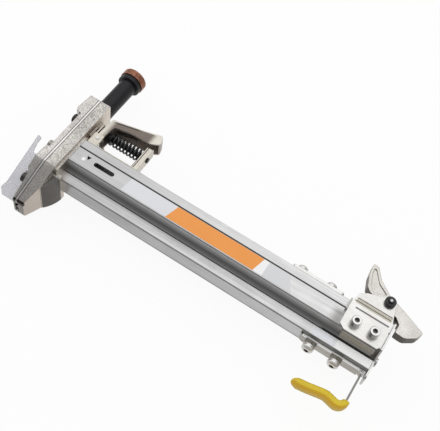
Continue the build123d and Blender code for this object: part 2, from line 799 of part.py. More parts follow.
# Pusher spring: plain sleeve in place of the hidden coil round the guide rod
with BuildPart() as pusher_spring:
    with BuildSketch(section(pusher_x + pusher_length)):
        with Locations((guide_rod_y, 0)):
            Circle(pusher_spring_r)
            Circle(pusher_spring_r - spring_wall + sliding, mode=Mode.SUBTRACT)
    extrude(amount=tail_x - guide_head_h - pusher_x - pusher_length)
save(pusher_spring, "pusher_spring")

# Striking rod: the steel rod with its collar, hollow at the lower end
with BuildPart() as striking_rod:
    with BuildSketch(level(rod_bottom)):
        Circle(rod_d / 2)
    extrude(amount=cap_y - rod_bottom)
    with BuildSketch(level(collar_y)):
        Circle(collar_d / 2)
    extrude(amount=collar_h)
    chamfer(striking_rod.faces().sort_by(Axis.Y)[-1].edges(), 0.6)
    with BuildSketch(level(rod_bottom)):
        Circle(pocket_d / 2)
    extrude(amount=pocket_depth, mode=Mode.SUBTRACT)
    with BuildSketch(level(pocket_top)):
        chevron(running)
    extrude(amount=blade_lap + running, mode=Mode.SUBTRACT)
    with BuildSketch(level(cap_y)):
        Circle(spigot_d / 2 + running)
    extrude(amount=-spigot_h - sliding, mode=Mode.SUBTRACT)
    with BuildSketch(side(-rod_d / 2)):
        with Locations((0, pocket_top + blade_pin_up)):
            Circle(blade_pin_d / 2 + running)
    extrude(amount=rod_d, mode=Mode.SUBTRACT)
save(striking_rod, "striking_rod")

# Copper cap: the soft striking face, with a spigot into the rod
with BuildPart() as copper_cap:
    with BuildSketch(level(cap_y)):
        Circle(cap_d / 2)
    extrude(amount=cap_h)
    fillet(copper_cap.faces().sort_by(Axis.Y)[-1].edges(), cap_round)
    with BuildSketch(level(cap_y)):
        Circle(spigot_d / 2)
    extrude(amount=-spigot_h)
save(copper_cap, "copper_cap")

# Driver blade: a chevron bar that pushes one V nail out of the nozzle
with BuildPart() as driver_blade:
    with BuildSketch(level(blade_tip)):
        chevron(0)
    extrude(amount=blade_top - blade_tip)
    with BuildSketch(side(-rod_d / 2)):
        with Locations((0, pocket_top + blade_pin_up)):
            Circle(blade_pin_d / 2 + running)
    extrude(amount=rod_d, mode=Mode.SUBTRACT)
save(driver_blade, "driver_blade")

# Blade pin: a cross pin through rod and blade
with BuildPart() as blade_pin:
    with BuildSketch(side(-rod_d / 2 + free)):
        with Locations((0, pocket_top + blade_pin_up)):
            Circle(blade_pin_d / 2)
    extrude(amount=rod_d - 2 * free)
save(blade_pin, "blade_pin")

# Spring seat: a washer on the floor of the bore
with BuildPart() as spring_seat:
    with BuildSketch(level(bore_floor)):
        Circle(bore_r - running)
        Circle(return_spring_r - spring_wall - free, mode=Mode.SUBTRACT)
    extrude(amount=seat_thickness)
save(spring_seat, "spring_seat")

# Return spring: plain sleeve in place of the hidden coil under the rod
with BuildPart() as return_spring:
    with BuildSketch(level(seat_y)):
        Circle(return_spring_r)
        Circle(return_spring_r - spring_wall, mode=Mode.SUBTRACT)
    extrude(amount=pocket_top - seat_y)
save(return_spring, "return_spring")

# Latch bracket: base, front wall, two cheeks and the end block of the front latch
with BuildPart() as latch_bracket:
    with BuildSketch(level(cover_top)):
        with Locations((latch_z, (latch_front_x + latch_block_x[1]) / 2)):
            Rectangle(2 * latch_half, latch_block_x[1] - latch_front_x)
        with Locations(*[(latch_z, x) for x in latch_screw_x]):
            Circle(small_screw_d / 2 + 2 * running, mode=Mode.SUBTRACT)
    extrude(amount=latch_base_t)
    with BuildSketch(section(latch_front_x)):
        with Locations(((cover_top + latch_wall_top) / 2, latch_z)):
            Rectangle(latch_wall_top - cover_top, 2 * latch_half - 3)
    extrude(amount=latch_wall)
    for cheek in (latch_z - latch_half, latch_z + latch_half - lever_wall):
        with BuildSketch(side(cheek)):
            with Locations(((latch_front_x + cheek_rear_x) / 2, (cover_top + cheek_top) / 2)):
                Rectangle(cheek_rear_x - latch_front_x, cheek_top - cover_top)
            with Locations((lever_pivot_x, lever_pivot_y)):
                Circle(lever_pin_d / 2 + running, mode=Mode.SUBTRACT)
        extrude(amount=lever_wall)
    with BuildSketch(section(latch_block_x[0])):
        with Locations(((cover_top + latch_block_top) / 2, latch_z)):
            RectangleRounded(latch_block_top - cover_top, 2 * latch_block_half, 2.0)
    extrude(amount=latch_block_x[1] - latch_block_x[0])
    with BuildSketch(section(latch_front_x)):
        with Locations((plunger_y, latch_z)):
            Circle(plunger_d / 2 + running)
    extrude(amount=latch_block_x[1] - latch_front_x, mode=Mode.SUBTRACT)
save(latch_bracket, "latch_bracket")

# Latch screws: two flat head screws that hold the latch to the cover
with BuildPart() as latch_screws:
    screw_y = cover_top + latch_base_t
    with BuildSketch(level(screw_y)):
        with Locations(*[(latch_z, x) for x in latch_screw_x]):
            Circle(small_screw_d)
    extrude(amount=latch_screw_h)
    chamfer(latch_screws.faces().sort_by(Axis.Y)[-2:].edges(), 0.5)
    with BuildSketch(level(screw_y)):
        with Locations(*[(latch_z, x) for x in latch_screw_x]):
            Circle(small_screw_d / 2)
    extrude(amount=-latch_base_t - small_screw_reach + sliding)
save(latch_screws, "latch_screws")

# Latch lever: a folded channel whose leg draws the plunger back
with BuildPart() as latch_lever:
    with BuildSketch(side(latch_z - lever_outer)):
        with BuildLine():
            FilletPolyline((16.6, 87.5), (16.6, 96.0), (18.2, 113.0), (32.0, 115.9), (47.8, 119.6),
                           (64.4, 124.6), (66.8, 115.5), (59.4, 110.9), (40.0, 110.2),
                           (23.6, 106.5), (22.2, 87.5), (22.2, 84.6), (16.6, 84.6),
                           radius=[0, 4, 1.5, 20, 20, 3, 3, 4, 8, 3, 0, 2.5, 2.5], close=True)
        make_face()
    extrude(amount=2 * lever_outer)
    # the channel is open from below and behind
    with BuildSketch(side(latch_z - lever_outer + lever_wall)):
        outline([(web_x[1], 80.0), (web_x[1], 111.8), (32.2, 114.3), (48.1, 118.0), (63.4, 122.6),
                 (66.2, 112.0), (75.0, 112.0), (75.0, 80.0)])
    extrude(amount=2 * (lever_outer - lever_wall), mode=Mode.SUBTRACT)
    with BuildSketch(side(latch_z - lever_outer + lever_wall)):
        outline([(10.0, 80.0), (10.0, 99.0), (web_x[0], 99.0), (web_x[0], 80.0)])
        outline([(10.0, 80.0), (10.0, 93.0), (web_x[1] + 1, 93.0), (web_x[1] + 1, 80.0)])
    extrude(amount=2 * (lever_outer - lever_wall), mode=Mode.SUBTRACT)
    with BuildSketch(section(web_x[0] - 3)):
        with Locations((plunger_y, latch_z)):
            SlotOverall(lever_slot[1], lever_slot[0])
    extrude(amount=6, mode=Mode.SUBTRACT)
    with BuildSketch(side(latch_z - lever_outer)):
        with Locations((lever_pivot_x, lever_pivot_y)):
            Circle(lever_pin_d / 2 + running)
    extrude(amount=2 * lever_outer, mode=Mode.SUBTRACT)
save(latch_lever, "latch_lever")

# Latch lever pin: the pivot in the two cheeks
with BuildPart() as latch_lever_pin:
    with BuildSketch(side(latch_z - latch_half - 0.5)):
        with Locations((lever_pivot_x, lever_pivot_y)):
            Circle(lever_pin_d / 2)
    extrude(amount=2 * latch_half + 1)
save(latch_lever_pin, "latch_lever_pin")

# Latch plunger: the bolt that locks the magazine into the head
with BuildPart() as latch_plunger:
    with BuildSketch(section(body_rear_x + keeper - plunger_entry)):
        with Locations((plunger_y, latch_z)):
            Circle(plunger_d / 2)
    extrude(amount=latch_block_x[1] + 1.0 - body_rear_x - keeper + plunger_entry)
    with BuildSketch(section(web_x[1] + 0.1)):
        with Locations((plunger_y, latch_z)):
            Circle(plunger_collar_d / 2)
    extrude(amount=latch_spring_x - web_x[1] - 0.1)
    with BuildSketch(section(latch_spring_x - plunger_seat_h)):
        with Locations((plunger_y, latch_z)):
            Circle(plunger_seat_d / 2)
    extrude(amount=plunger_seat_h)
save(latch_plunger, "latch_plunger")

# Latch spring: an open coil between the plunger seat and the end block
coil_x0 = latch_spring_x + latch_spring_wire / 2 + coil_spare
coil_x1 = latch_block_x[0] - latch_spring_wire / 2 - coil_spare
coil_pitch = (coil_x1 - coil_x0) / latch_spring_turns
with BuildPart() as latch_spring:
    with BuildLine() as coil_line:
        first, first_way = coil_place(0)
        Line(first - first_way * latch_spring_wire, first)
        for half in range(2 * latch_spring_turns):
            biarc(*coil_place(half / 2), *coil_place((half + 1) / 2))
        last, last_way = coil_place(latch_spring_turns)
        Line(last, last + last_way * latch_spring_wire)
    with BuildSketch(Plane(origin=first - first_way * latch_spring_wire, z_dir=first_way)):
        Circle(latch_spring_wire / 2)
    sweep(path=coil_line.wires()[0])
save(latch_spring, "latch_spring")
places = [coil_place(step / 24)[0] for step in range(24 * latch_spring_turns + 1)]
coil_gap = min((places[i] - places[j]).length
               for i in range(len(places)) for j in range(i + 12, len(places)))
print("least gap between turns of the latch spring:", round(coil_gap - latch_spring_wire, 3), "mm")
assert coil_gap - latch_spring_wire > coil_gap_needed

# Foot bar: a folded strip under the keel that ends in a hand hook
with BuildPart() as foot_bar:
    with BuildSketch(level(foot_low_y)) as bar_face:
        with Locations((foot_screw_z, (foot_x + foot_bend_x - prong_radii[0]) / 2)):
            Rectangle(foot_z[1] - foot_z[0], foot_bend_x - prong_radii[0] - foot_x)
        fillet(bar_face.vertices().sort_by(Axis.Y)[:2].sort_by(Axis.X)[0], foot_corner)
        with Locations(*[(foot_screw_z, x) for x in foot_screw_x]):
            Circle(small_screw_d / 2 + 2 * running, mode=Mode.SUBTRACT)
    extrude(amount=foot_sheet)
    with BuildSketch(side(prong_z - prong_half)):
        with BuildLine():
            FilletPolyline((foot_bend_x - 4 * prong_radii[0], foot_low_y + foot_sheet / 2),
                           (foot_bend_x, foot_low_y + foot_sheet / 2),
                           (foot_bend_x, prong_low_y), *prong_line, radius=prong_radii)
        trace(line_width=foot_sheet)
    extrude(amount=2 * prong_half)
save(foot_bar, "foot_bar")

# Foot sleeve: the dipped grip on the hook
tip_slope = (prong_line[-1][1] - prong_line[-2][1]) / (prong_line[-1][0] - prong_line[-2][0])
sleeve_tip = (prong_line[-1][0] - dip_end, prong_line[-1][1] - tip_slope * dip_end)
with BuildPart() as foot_sleeve:
    with BuildSketch(side(prong_z - prong_half - dip_side)):
        with BuildLine():
            FilletPolyline((foot_bend_x, prong_low_y + sleeve_start), (foot_bend_x, prong_low_y),
                           *prong_line[:-1], sleeve_tip, radius=prong_radii[1:])
        trace(line_width=foot_sheet + 2 * dip_wall)
    extrude(amount=2 * (prong_half + dip_side))
    fillet(foot_sleeve.edges().filter_by(Axis.Z).sort_by(Axis.X)[:2], dip_end_round)
    fillet(foot_sleeve.edges().group_by(Axis.Z)[-1], dip_round)
    fillet(foot_sleeve.edges().group_by(Axis.Z)[0], dip_round)
    add(foot_bar.part, mode=Mode.SUBTRACT)
save(foot_sleeve, "foot_sleeve")

# Foot nuts: two hexagon nuts that stand the screw heads off the bar
with BuildPart() as foot_nuts:
    with BuildSketch(level(nut_low_y)):
        with Locations(*[(foot_screw_z, x) for x in foot_screw_x]):
            RegularPolygon(foot_nut_d / 2, 6)
            Circle(small_screw_d / 2 + 2 * running, mode=Mode.SUBTRACT)
    extrude(amount=foot_nut_h)
save(foot_nuts, "foot_nuts")

# Foot screws: two round socket screws up into the keel
with BuildPart() as foot_screws:
    with BuildSketch(level(nut_low_y)):
        with Locations(*[(foot_screw_z, x) for x in foot_screw_x]):
            Circle(button_d / 2)
    extrude(amount=-button_h)
    fillet(foot_screws.faces().sort_by(Axis.Y)[:2].edges(), button_round)
    with BuildSketch(level(nut_low_y)):
        with Locations(*[(foot_screw_z, x) for x in foot_screw_x]):
            Circle(small_screw_d / 2)
    extrude(amount=foot_nut_h + foot_sheet + keel_floor - sliding)
    with BuildSketch(level(nut_low_y - button_h)):
        with Locations(*[(foot_screw_z, x) for x in foot_screw_x]):
            RegularPolygon(button_socket_d / 2, 6)
    extrude(amount=button_socket_depth, mode=Mode.SUBTRACT)
save(foot_screws, "foot_screws")
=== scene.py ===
# %% [markdown]
# The looks of a hand-struck V-nailer
#
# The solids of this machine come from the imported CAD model, so every dimension is settled before
# this script starts. What is left for Blender is what the eye reads: plated steel with a fine
# grain, satin anodised aluminium, black polished rod, a copper cap, wound springs and labels.

import math

import bmesh
import bpy
from mathutils import Matrix, Vector


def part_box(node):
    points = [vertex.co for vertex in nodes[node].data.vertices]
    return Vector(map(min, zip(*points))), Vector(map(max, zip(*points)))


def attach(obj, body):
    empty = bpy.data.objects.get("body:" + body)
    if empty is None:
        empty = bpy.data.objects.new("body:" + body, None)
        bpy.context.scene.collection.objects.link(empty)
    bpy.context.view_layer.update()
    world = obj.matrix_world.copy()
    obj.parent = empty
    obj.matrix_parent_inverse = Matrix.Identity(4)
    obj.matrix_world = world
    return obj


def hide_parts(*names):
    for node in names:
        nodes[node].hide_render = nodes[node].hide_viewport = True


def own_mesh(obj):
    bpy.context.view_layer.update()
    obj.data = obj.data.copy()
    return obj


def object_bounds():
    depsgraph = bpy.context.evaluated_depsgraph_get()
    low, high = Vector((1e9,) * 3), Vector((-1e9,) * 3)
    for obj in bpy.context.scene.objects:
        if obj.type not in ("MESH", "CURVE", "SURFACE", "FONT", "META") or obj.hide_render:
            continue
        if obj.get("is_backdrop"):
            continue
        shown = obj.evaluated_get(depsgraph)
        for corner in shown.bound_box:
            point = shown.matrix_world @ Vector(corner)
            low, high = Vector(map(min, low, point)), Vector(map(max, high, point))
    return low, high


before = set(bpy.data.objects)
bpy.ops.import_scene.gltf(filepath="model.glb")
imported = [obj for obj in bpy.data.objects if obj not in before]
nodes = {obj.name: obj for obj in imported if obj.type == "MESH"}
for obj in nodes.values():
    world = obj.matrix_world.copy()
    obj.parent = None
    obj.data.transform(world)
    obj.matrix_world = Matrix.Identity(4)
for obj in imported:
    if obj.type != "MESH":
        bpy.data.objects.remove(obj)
cad_low, cad_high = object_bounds()

MM = 0.001

# %% [markdown]
# Shared effects
#
# Real metal is never one flat colour. The ground faces carry fine grain, drawn profiles carry
# streaks along their length, and broad clouds of shade come from handling. Each effect could be
# drawn again in every material, but a small node group with named inputs is built once and then
# placed in all of them with its own values.

# %% Helpers for node trees
def new_group(name, inputs, outputs):
    group = bpy.data.node_groups.new(name, "ShaderNodeTree")
    for label, kind, value in inputs:
        socket = group.interface.new_socket(name=label, in_out="INPUT", socket_type=kind)
        if value is not None:
            socket.default_value = value
    for label, kind in outputs:
        group.interface.new_socket(name=label, in_out="OUTPUT", socket_type=kind)
    start = group.nodes.new("NodeGroupInput")
    end = group.nodes.new("NodeGroupOutput")
    return group, start, end


def math_node(tree, operation, a, b=None, clamp=False):
    node = tree.nodes.new("ShaderNodeMath")
    node.operation = operation
    node.use_clamp = clamp
    for socket, value in zip(node.inputs, (a, b)):
        if value is None:
            continue
        if isinstance(value, (int, float)):
            socket.default_value = value
        else:
            tree.links.new(value, socket)
    return node.outputs[0]


def ramp_between(tree, value, low, high):
    node = tree.nodes.new("ShaderNodeMapRange")
    node.interpolation_type = "SMOOTHSTEP"
    tree.links.new(value, node.inputs["Value"])
    node.inputs["From Min"].default_value = low
    node.inputs["From Max"].default_value = high
    return node.outputs["Result"]


def colour_mix(tree, factor, below):
    node = tree.nodes.new("ShaderNodeMix")
    node.data_type = "RGBA"
    tree.links.new(factor, node.inputs["Factor"])
    tree.links.new(below, node.inputs["A"])
    return node


# %% Grain: a fine speckle and a broad cloud, for ground, blasted and cast faces
grain_group, g_in, g_out = new_group(
    "fine grain",
    [("Vector", "NodeSocketVector", None), ("Size", "NodeSocketFloat", 1200.0),
     ("Stretch", "NodeSocketVector", (1.0, 1.0, 1.0))],
    [("Grain", "NodeSocketFloat"), ("Cloud", "NodeSocketFloat")])
stretch = grain_group.nodes.new("ShaderNodeVectorMath")
stretch.operation = "MULTIPLY"
grain_group.links.new(g_in.outputs["Vector"], stretch.inputs[0])
grain_group.links.new(g_in.outputs["Stretch"], stretch.inputs[1])
fine = grain_group.nodes.new("ShaderNodeTexNoise")
fine.inputs["Detail"].default_value = 3.0
fine.inputs["Roughness"].default_value = 0.62
grain_group.links.new(stretch.outputs["Vector"], fine.inputs["Vector"])
grain_group.links.new(g_in.outputs["Size"], fine.inputs["Scale"])
cloud = grain_group.nodes.new("ShaderNodeTexNoise")
cloud.inputs["Scale"].default_value = 60.0
cloud.inputs["Detail"].default_value = 2.0
grain_group.links.new(g_in.outputs["Vector"], cloud.inputs["Vector"])
grain_group.links.new(fine.outputs["Fac"], g_out.inputs["Grain"])
grain_group.links.new(cloud.outputs["Fac"], g_out.inputs["Cloud"])
print("group:", grain_group.name)

# %% [markdown]
# From grain to tone
#
# On a ground face the high points are light and smooth, and the low ones dark and rough. So one
# factor, made of grain and cloud, mixes both the colour and the roughness. A separate noise for
# each would make them drift apart, which no real surface does.

# %% Tone: turns grain and cloud into a colour and a roughness
tone_group, t_in, t_out = new_group(
    "tone from grain",
    [("Grain", "NodeSocketFloat", 0.5), ("Cloud", "NodeSocketFloat", 0.5),
     ("Light", "NodeSocketColor", (0.7, 0.7, 0.7, 1)),
     ("Dark", "NodeSocketColor", (0.5, 0.5, 0.5, 1)),
     ("Contrast", "NodeSocketFloat", 1.0), ("Shade", "NodeSocketFloat", 1.0),
     ("Smooth", "NodeSocketFloat", 0.3), ("Rough", "NodeSocketFloat", 0.5)],
    [("Colour", "NodeSocketColor"), ("Roughness", "NodeSocketFloat")])
noise_middle = 0.5
centred = math_node(tone_group, "SUBTRACT", t_in.outputs["Grain"], noise_middle)
scaled = math_node(tone_group, "MULTIPLY", centred, t_in.outputs["Contrast"])
drift = math_node(tone_group, "SUBTRACT", t_in.outputs["Cloud"], noise_middle)
level = math_node(tone_group, "ADD", scaled, drift)
factor = math_node(tone_group, "ADD", level, noise_middle, clamp=True)
blend_tone = colour_mix(tone_group, factor, t_in.outputs["Dark"])
tone_group.links.new(t_in.outputs["Light"], blend_tone.inputs["B"])
shade = tone_group.nodes.new("ShaderNodeVectorMath")
shade.operation = "SCALE"
tone_group.links.new(blend_tone.outputs["Result"], shade.inputs[0])
tone_group.links.new(t_in.outputs["Shade"], shade.inputs["Scale"])
tone_group.links.new(shade.outputs["Vector"], t_out.inputs["Colour"])
rough = tone_group.nodes.new("ShaderNodeMix")
rough.data_type = "FLOAT"
tone_group.links.new(factor, rough.inputs["Factor"])
tone_group.links.new(t_in.outputs["Rough"], rough.inputs["A"])
tone_group.links.new(t_in.outputs["Smooth"], rough.inputs["B"])
tone_group.links.new(rough.outputs["Result"], t_out.inputs["Roughness"])
print("group:", tone_group.name)

# %% [markdown]
# A finish, as a function
#
# Every metal here is the same recipe with other numbers: object coordinates feed the grain, the
# grain feeds the tone, and a bump gives the surface its tooth. The Bevel node rounds the shading
# at sharp edges, so that the thin plates and blocks show the fine bright line of a broken edge.
# A higher size means a finer grain, and edge is the radius of the broken edge in millimetres.

# %% The recipe for a worked surface
relief_depth = 0.0002
bevel_samples = 4


def finish(name, light, dark, metallic=1.0, size=1400.0, stretch=(1, 1, 1), contrast=1.0,
           smooth=0.28, rough=0.42, bump=0.05, edge=0.25, spec=0.5):
    material = bpy.data.materials.new(name)
    material.use_nodes = True
    tree = material.node_tree
    shader = tree.nodes["Principled BSDF"]
    coords = tree.nodes.new("ShaderNodeTexCoord")
    grain = tree.nodes.new("ShaderNodeGroup")
    grain.node_tree = grain_group
    tree.links.new(coords.outputs["Object"], grain.inputs["Vector"])
    grain.inputs["Size"].default_value = size
    grain.inputs["Stretch"].default_value = stretch
    tone = tree.nodes.new("ShaderNodeGroup")
    tone.node_tree = tone_group
    tone.name = "tone"
    tree.links.new(grain.outputs["Grain"], tone.inputs["Grain"])
    tree.links.new(grain.outputs["Cloud"], tone.inputs["Cloud"])
    for label, value in (("Light", (*light, 1)), ("Dark", (*dark, 1)), ("Contrast", contrast),
                         ("Smooth", smooth), ("Rough", rough)):
        tone.inputs[label].default_value = value
    tree.links.new(tone.outputs["Colour"], shader.inputs["Base Color"])
    tree.links.new(tone.outputs["Roughness"], shader.inputs["Roughness"])
    shader.inputs["Metallic"].default_value = metallic
    shader.inputs["Specular IOR Level"].default_value = spec
    relief = tree.nodes.new("ShaderNodeBump")
    relief.inputs["Strength"].default_value = bump
    relief.inputs["Distance"].default_value = relief_depth
    tree.links.new(grain.outputs["Grain"], relief.inputs["Height"])
    if edge:
        soften = tree.nodes.new("ShaderNodeBevel")
        soften.samples = bevel_samples
        soften.inputs["Radius"].default_value = edge * MM
        tree.links.new(soften.outputs["Normal"], relief.inputs["Normal"])
    tree.links.new(relief.outputs["Normal"], shader.inputs["Normal"])
    print("finish:", name)
    return material


# %% [markdown]
# Painting by place
#
# Painted shade and highlights, dark joints, wear and bare spots follow the shape, so they are
# painted where a point lies on the object. An image could carry them, but it would need the piece
# unfolded first. A band is a mask that is 1 between two places on an axis and fades over a short
# distance. Masks multiply into patches, and each patch blends one colour over the finish below it.
# All of it is in millimetres.

# %% Masks from object coordinates
def object_axis(material, axis):
    tree = material.node_tree
    split = tree.nodes.get("place")
    if split is None:
        coords = next(n for n in tree.nodes if n.type == "TEX_COORD")
        split = tree.nodes.new("ShaderNodeSeparateXYZ")
        split.name = "place"
        tree.links.new(coords.outputs["Object"], split.inputs[0])
    return split.outputs[axis]


def band(material, axis, low, high, soft=0.3):
    tree = material.node_tree
    place = object_axis(material, axis)
    rise = ramp_between(tree, place, (low - soft) * MM, (low + soft) * MM)
    fall = ramp_between(tree, place, (high + soft) * MM, (high - soft) * MM)
    return math_node(tree, "MULTIPLY", rise, fall)


def spot(material, centre, radius, soft=0.25):
    tree = material.node_tree
    squares = []
    for axis, place in zip("XY", centre):
        away = math_node(tree, "SUBTRACT", object_axis(material, axis), place * MM)
        squares.append(math_node(tree, "MULTIPLY", away, away))
    gap = math_node(tree, "SQRT", math_node(tree, "ADD", *squares))
    return ramp_between(tree, gap, (radius + soft) * MM, (radius - soft) * MM)


def patch(material, *masks):
    mask = masks[0]
    for extra in masks[1:]:
        mask = math_node(material.node_tree, "MULTIPLY", mask, extra)
    return mask


# %% Masks from the way a face looks
def facing(material, axis, least=0.6, way=1):
    tree = material.node_tree
    fade = 0.15
    surface = tree.nodes.new("ShaderNodeNewGeometry")
    split = tree.nodes.new("ShaderNodeSeparateXYZ")
    tree.links.new(surface.outputs["Normal"], split.inputs[0])
    lean = math_node(tree, "MULTIPLY", split.outputs[axis], way)
    return ramp_between(tree, lean, least - fade, least + fade)


def not_facing(material, *choice):
    return math_node(material.node_tree, "SUBTRACT", 1.0, facing(material, *choice))


# %% Paint through a mask, and paint inside a box
def paint(material, mask, colour, strength=1.0, metallic=None):
    tree = material.node_tree
    shader = tree.nodes["Principled BSDF"]
    amount = math_node(tree, "MULTIPLY", mask, strength)
    blend = colour_mix(tree, amount, shader.inputs["Base Color"].links[0].from_socket)
    blend.inputs["B"].default_value = (*colour, 1)
    tree.links.new(blend.outputs["Result"], shader.inputs["Base Color"])
    if metallic is not None:
        old = shader.inputs["Metallic"]
        old = old.links[0].from_socket if old.is_linked else old.default_value
        kept = math_node(tree, "MULTIPLY", math_node(tree, "SUBTRACT", 1.0, amount), old)
        added = math_node(tree, "MULTIPLY", amount, metallic)
        tree.links.new(math_node(tree, "ADD", kept, added), shader.inputs["Metallic"])


# paints one colour inside a box: joint lines, painted shade and painted highlights alike
def paint_box(material, colour, strength=1.0, metallic=None, **limits):
    bands = [band(material, axis, *span) for axis, span in limits.items()]
    paint(material, patch(material, *bands), colour, strength, metallic)


def grey(level):
    return (level, level, level)


# near black for dark joint lines, and for painted shade round the nozzle, in sockets and under
# edges
dark_joint_and_shade = (0.03, 0.028, 0.026)
print("masks and paint are ready")

# %% [markdown]
# Steel of the head
#
# The head is ground and nickel plated. Its wide faces are light and grainy, and the slim nose is
# painted darker, as painted shade on its tapered faces, by a ramp on the height above the nozzle.
# The rear faces are painted warm beige, a painted reflection of the lit table behind, and the
# chamfered edge round the nozzle is painted near black, as painted shade. The two halves meet on
# guide strips, and the two joints show as a pair of fine dark lines. The lines could be cut as
# grooves, but they are far thinner than the plates, so narrow bands of colour are enough.

# %% The two halves of the head
nose_top, shoulder = 35.0, 40.0
shaded_nozzle_edge = {"Y": (-1.0, 1.7, 0.3), "Z": (6.0, 12.0, 0.3)}
painted_rear_reflection = (0.77, 0.685, 0.595)
gusset_shadow = (0.075, 0.072, 0.07)


def painted_nose_shade(material, dark):
    tree = material.node_tree
    height = ramp_between(tree, object_axis(material, "Y"), nose_top * MM, shoulder * MM)
    lift = math_node(tree, "MULTIPLY", height, 1.0 - dark)
    total = math_node(tree, "ADD", lift, dark)
    tree.links.new(total, tree.nodes["tone"].inputs["Shade"])


head_steel = finish("plated head steel", (0.72, 0.69, 0.65), (0.33, 0.315, 0.295), size=1150.0,
                    stretch=(1, 0.6, 1), contrast=3.0, smooth=0.30, rough=0.46, bump=0.25,
                    edge=0.5)
# painted shade: the head's nose is darker towards the nozzle
painted_nose_shade(head_steel, 0.78)
# painted reflection: faces turned to the rear take the warm beige of the lit table behind
paint(head_steel, facing(head_steel, "X"), painted_rear_reflection, 0.85)
paint_box(head_steel, gusset_shadow, 0.88, X=(11.5, 30.0, 0.2), Y=(15.0, 34.5, 0.8))
# painted shade on the chamfered edge round the nozzle
paint_box(head_steel, dark_joint_and_shade, 0.9, **shaded_nozzle_edge)
paint_box(head_steel, dark_joint_and_shade, 0.7, X=(0.9, 1.45, 0.12))
cover_steel = finish("plated cover steel", (0.78, 0.75, 0.715), (0.39, 0.375, 0.355), size=1150.0,
                     stretch=(1, 0.6, 1), contrast=2.7, smooth=0.28, rough=0.42, bump=0.2,
                     edge=0.5)
# painted shade: the cover's nose is darker towards the nozzle
painted_nose_shade(cover_steel, 0.70)
# painted shade on the chamfered edge round the nozzle
paint_box(cover_steel, dark_joint_and_shade, 0.9, **shaded_nozzle_edge)
paint_box(cover_steel, dark_joint_and_shade, 0.7, X=(-1.45, -0.9, 0.12))

# %% Guide strips
strip_steel = finish("ground strip steel", (0.90, 0.89, 0.87), (0.70, 0.69, 0.67), size=1500.0,
                     stretch=(1, 0.1, 1), edge=0.2)
# painted shade: the strips' nose is darker towards the nozzle
painted_nose_shade(strip_steel, 0.75)
for low, high in ((-1.2, -0.7), (0.7, 1.2)):
    paint_box(strip_steel, dark_joint_and_shade, 0.85, X=(low, high, 0.12))

# %% [markdown]
# Fasteners
#
# Screws are turned and then plated or blackened, so they are smoother than the plates they hold
# and carry less grain. A socket is a hole that swallows light. The solids keep it shallow and
# plain, so its floor is painted dark, which reads as depth. The middle row of the cover's dark
# screws is painted lighter, as painted light on that row. The bracket's tall screws carry painted
# shade on the sides that face the head, and the pivot screw has one painted highlight on its head.

# %% Plain and dark screws, and nuts
bright_screw = finish("bright screw steel", (0.82, 0.81, 0.79), (0.60, 0.59, 0.57), size=1800.0,
                      smooth=0.18, rough=0.34, edge=0.2)
cover_screw = finish("dark cover screw", (0.12, 0.11, 0.105), (0.04, 0.037, 0.035), metallic=0.7,
                     smooth=0.30, rough=0.46, edge=0.2)
painted_lit_grey = (0.46, 0.44, 0.42)
# painted light: the middle row of screws is painted a lighter grey
paint_box(cover_screw, painted_lit_grey, 0.9, metallic=1.0, Y=(50.0, 66.0, 0.5))
nut_steel = finish("dull nut steel", (0.56, 0.53, 0.48), (0.38, 0.355, 0.32), size=900.0,
                   smooth=0.30, rough=0.46, edge=0.2)

# %% Screws with sockets, and the pivot screw
foot_screw_x = (266.9, 290.4)
half_socket = 2.2
round_screw = finish("round screw steel", (0.97, 0.95, 0.92), (0.80, 0.78, 0.75), metallic=0.8,
                     size=1500.0, smooth=0.22, rough=0.38, edge=0.3)
for middle in foot_screw_x:
    paint_box(round_screw, dark_joint_and_shade, 0.9, metallic=0.5, X=(middle - half_socket, middle + half_socket, 0.2),
          Z=(-4.8, -0.4, 0.2), Y=(29.6, 34.0, 0.15))
tall_screw_places = ((288.8, 61.6), (305.1, 61.6))
tall_screw = finish("bright socket screw", (0.92, 0.91, 0.89), (0.74, 0.73, 0.71), size=1800.0,
                    smooth=0.18, rough=0.32, edge=0.2)
# painted shade on the sides that face the head
paint(tall_screw, facing(tall_screw, "X", 0.1, way=-1), (0.16, 0.145, 0.13), 0.8)
for place in tall_screw_places:
    paint(tall_screw, spot(tall_screw, place, 2.1), (0.06, 0.056, 0.052), 0.85)
pivot_place = (304.7, 93.8)
pivot_screw = finish("black pivot screw", (0.06, 0.06, 0.062), (0.02, 0.02, 0.022), metallic=0.6,
                     smooth=0.26, rough=0.42, edge=0.2)
# painted highlight: one bright spot on the top of the pivot screw
painted_highlight = patch(pivot_screw, band(pivot_screw, "Z", 24.9, 40.0, 0.15),
                     spot(pivot_screw, pivot_place, 1.2, 0.4))
paint(pivot_screw, painted_highlight, (0.64, 0.63, 0.62), metallic=1.0)

# %% [markdown]
# Rear bracket and tail plate
#
# Both are folded from plated sheet, the bracket polished and the tail plate plain. The bracket has
# two rolled grooves above its screws, and below its fold it hangs in its own shade. The grooves
# are too shallow to model for one view, so they are painted shade, a sharp band and a soft one.
# The bracket's front end is painted grey, as painted shade on its upright tab.

# %% Bracket and tail sheet
bracket_sheet = finish("polished bracket sheet", (0.86, 0.85, 0.83), (0.72, 0.705, 0.68),
                       size=700.0, stretch=(0.3, 1, 1), smooth=0.22, rough=0.36, edge=0.3)
bracket_end = 313.0
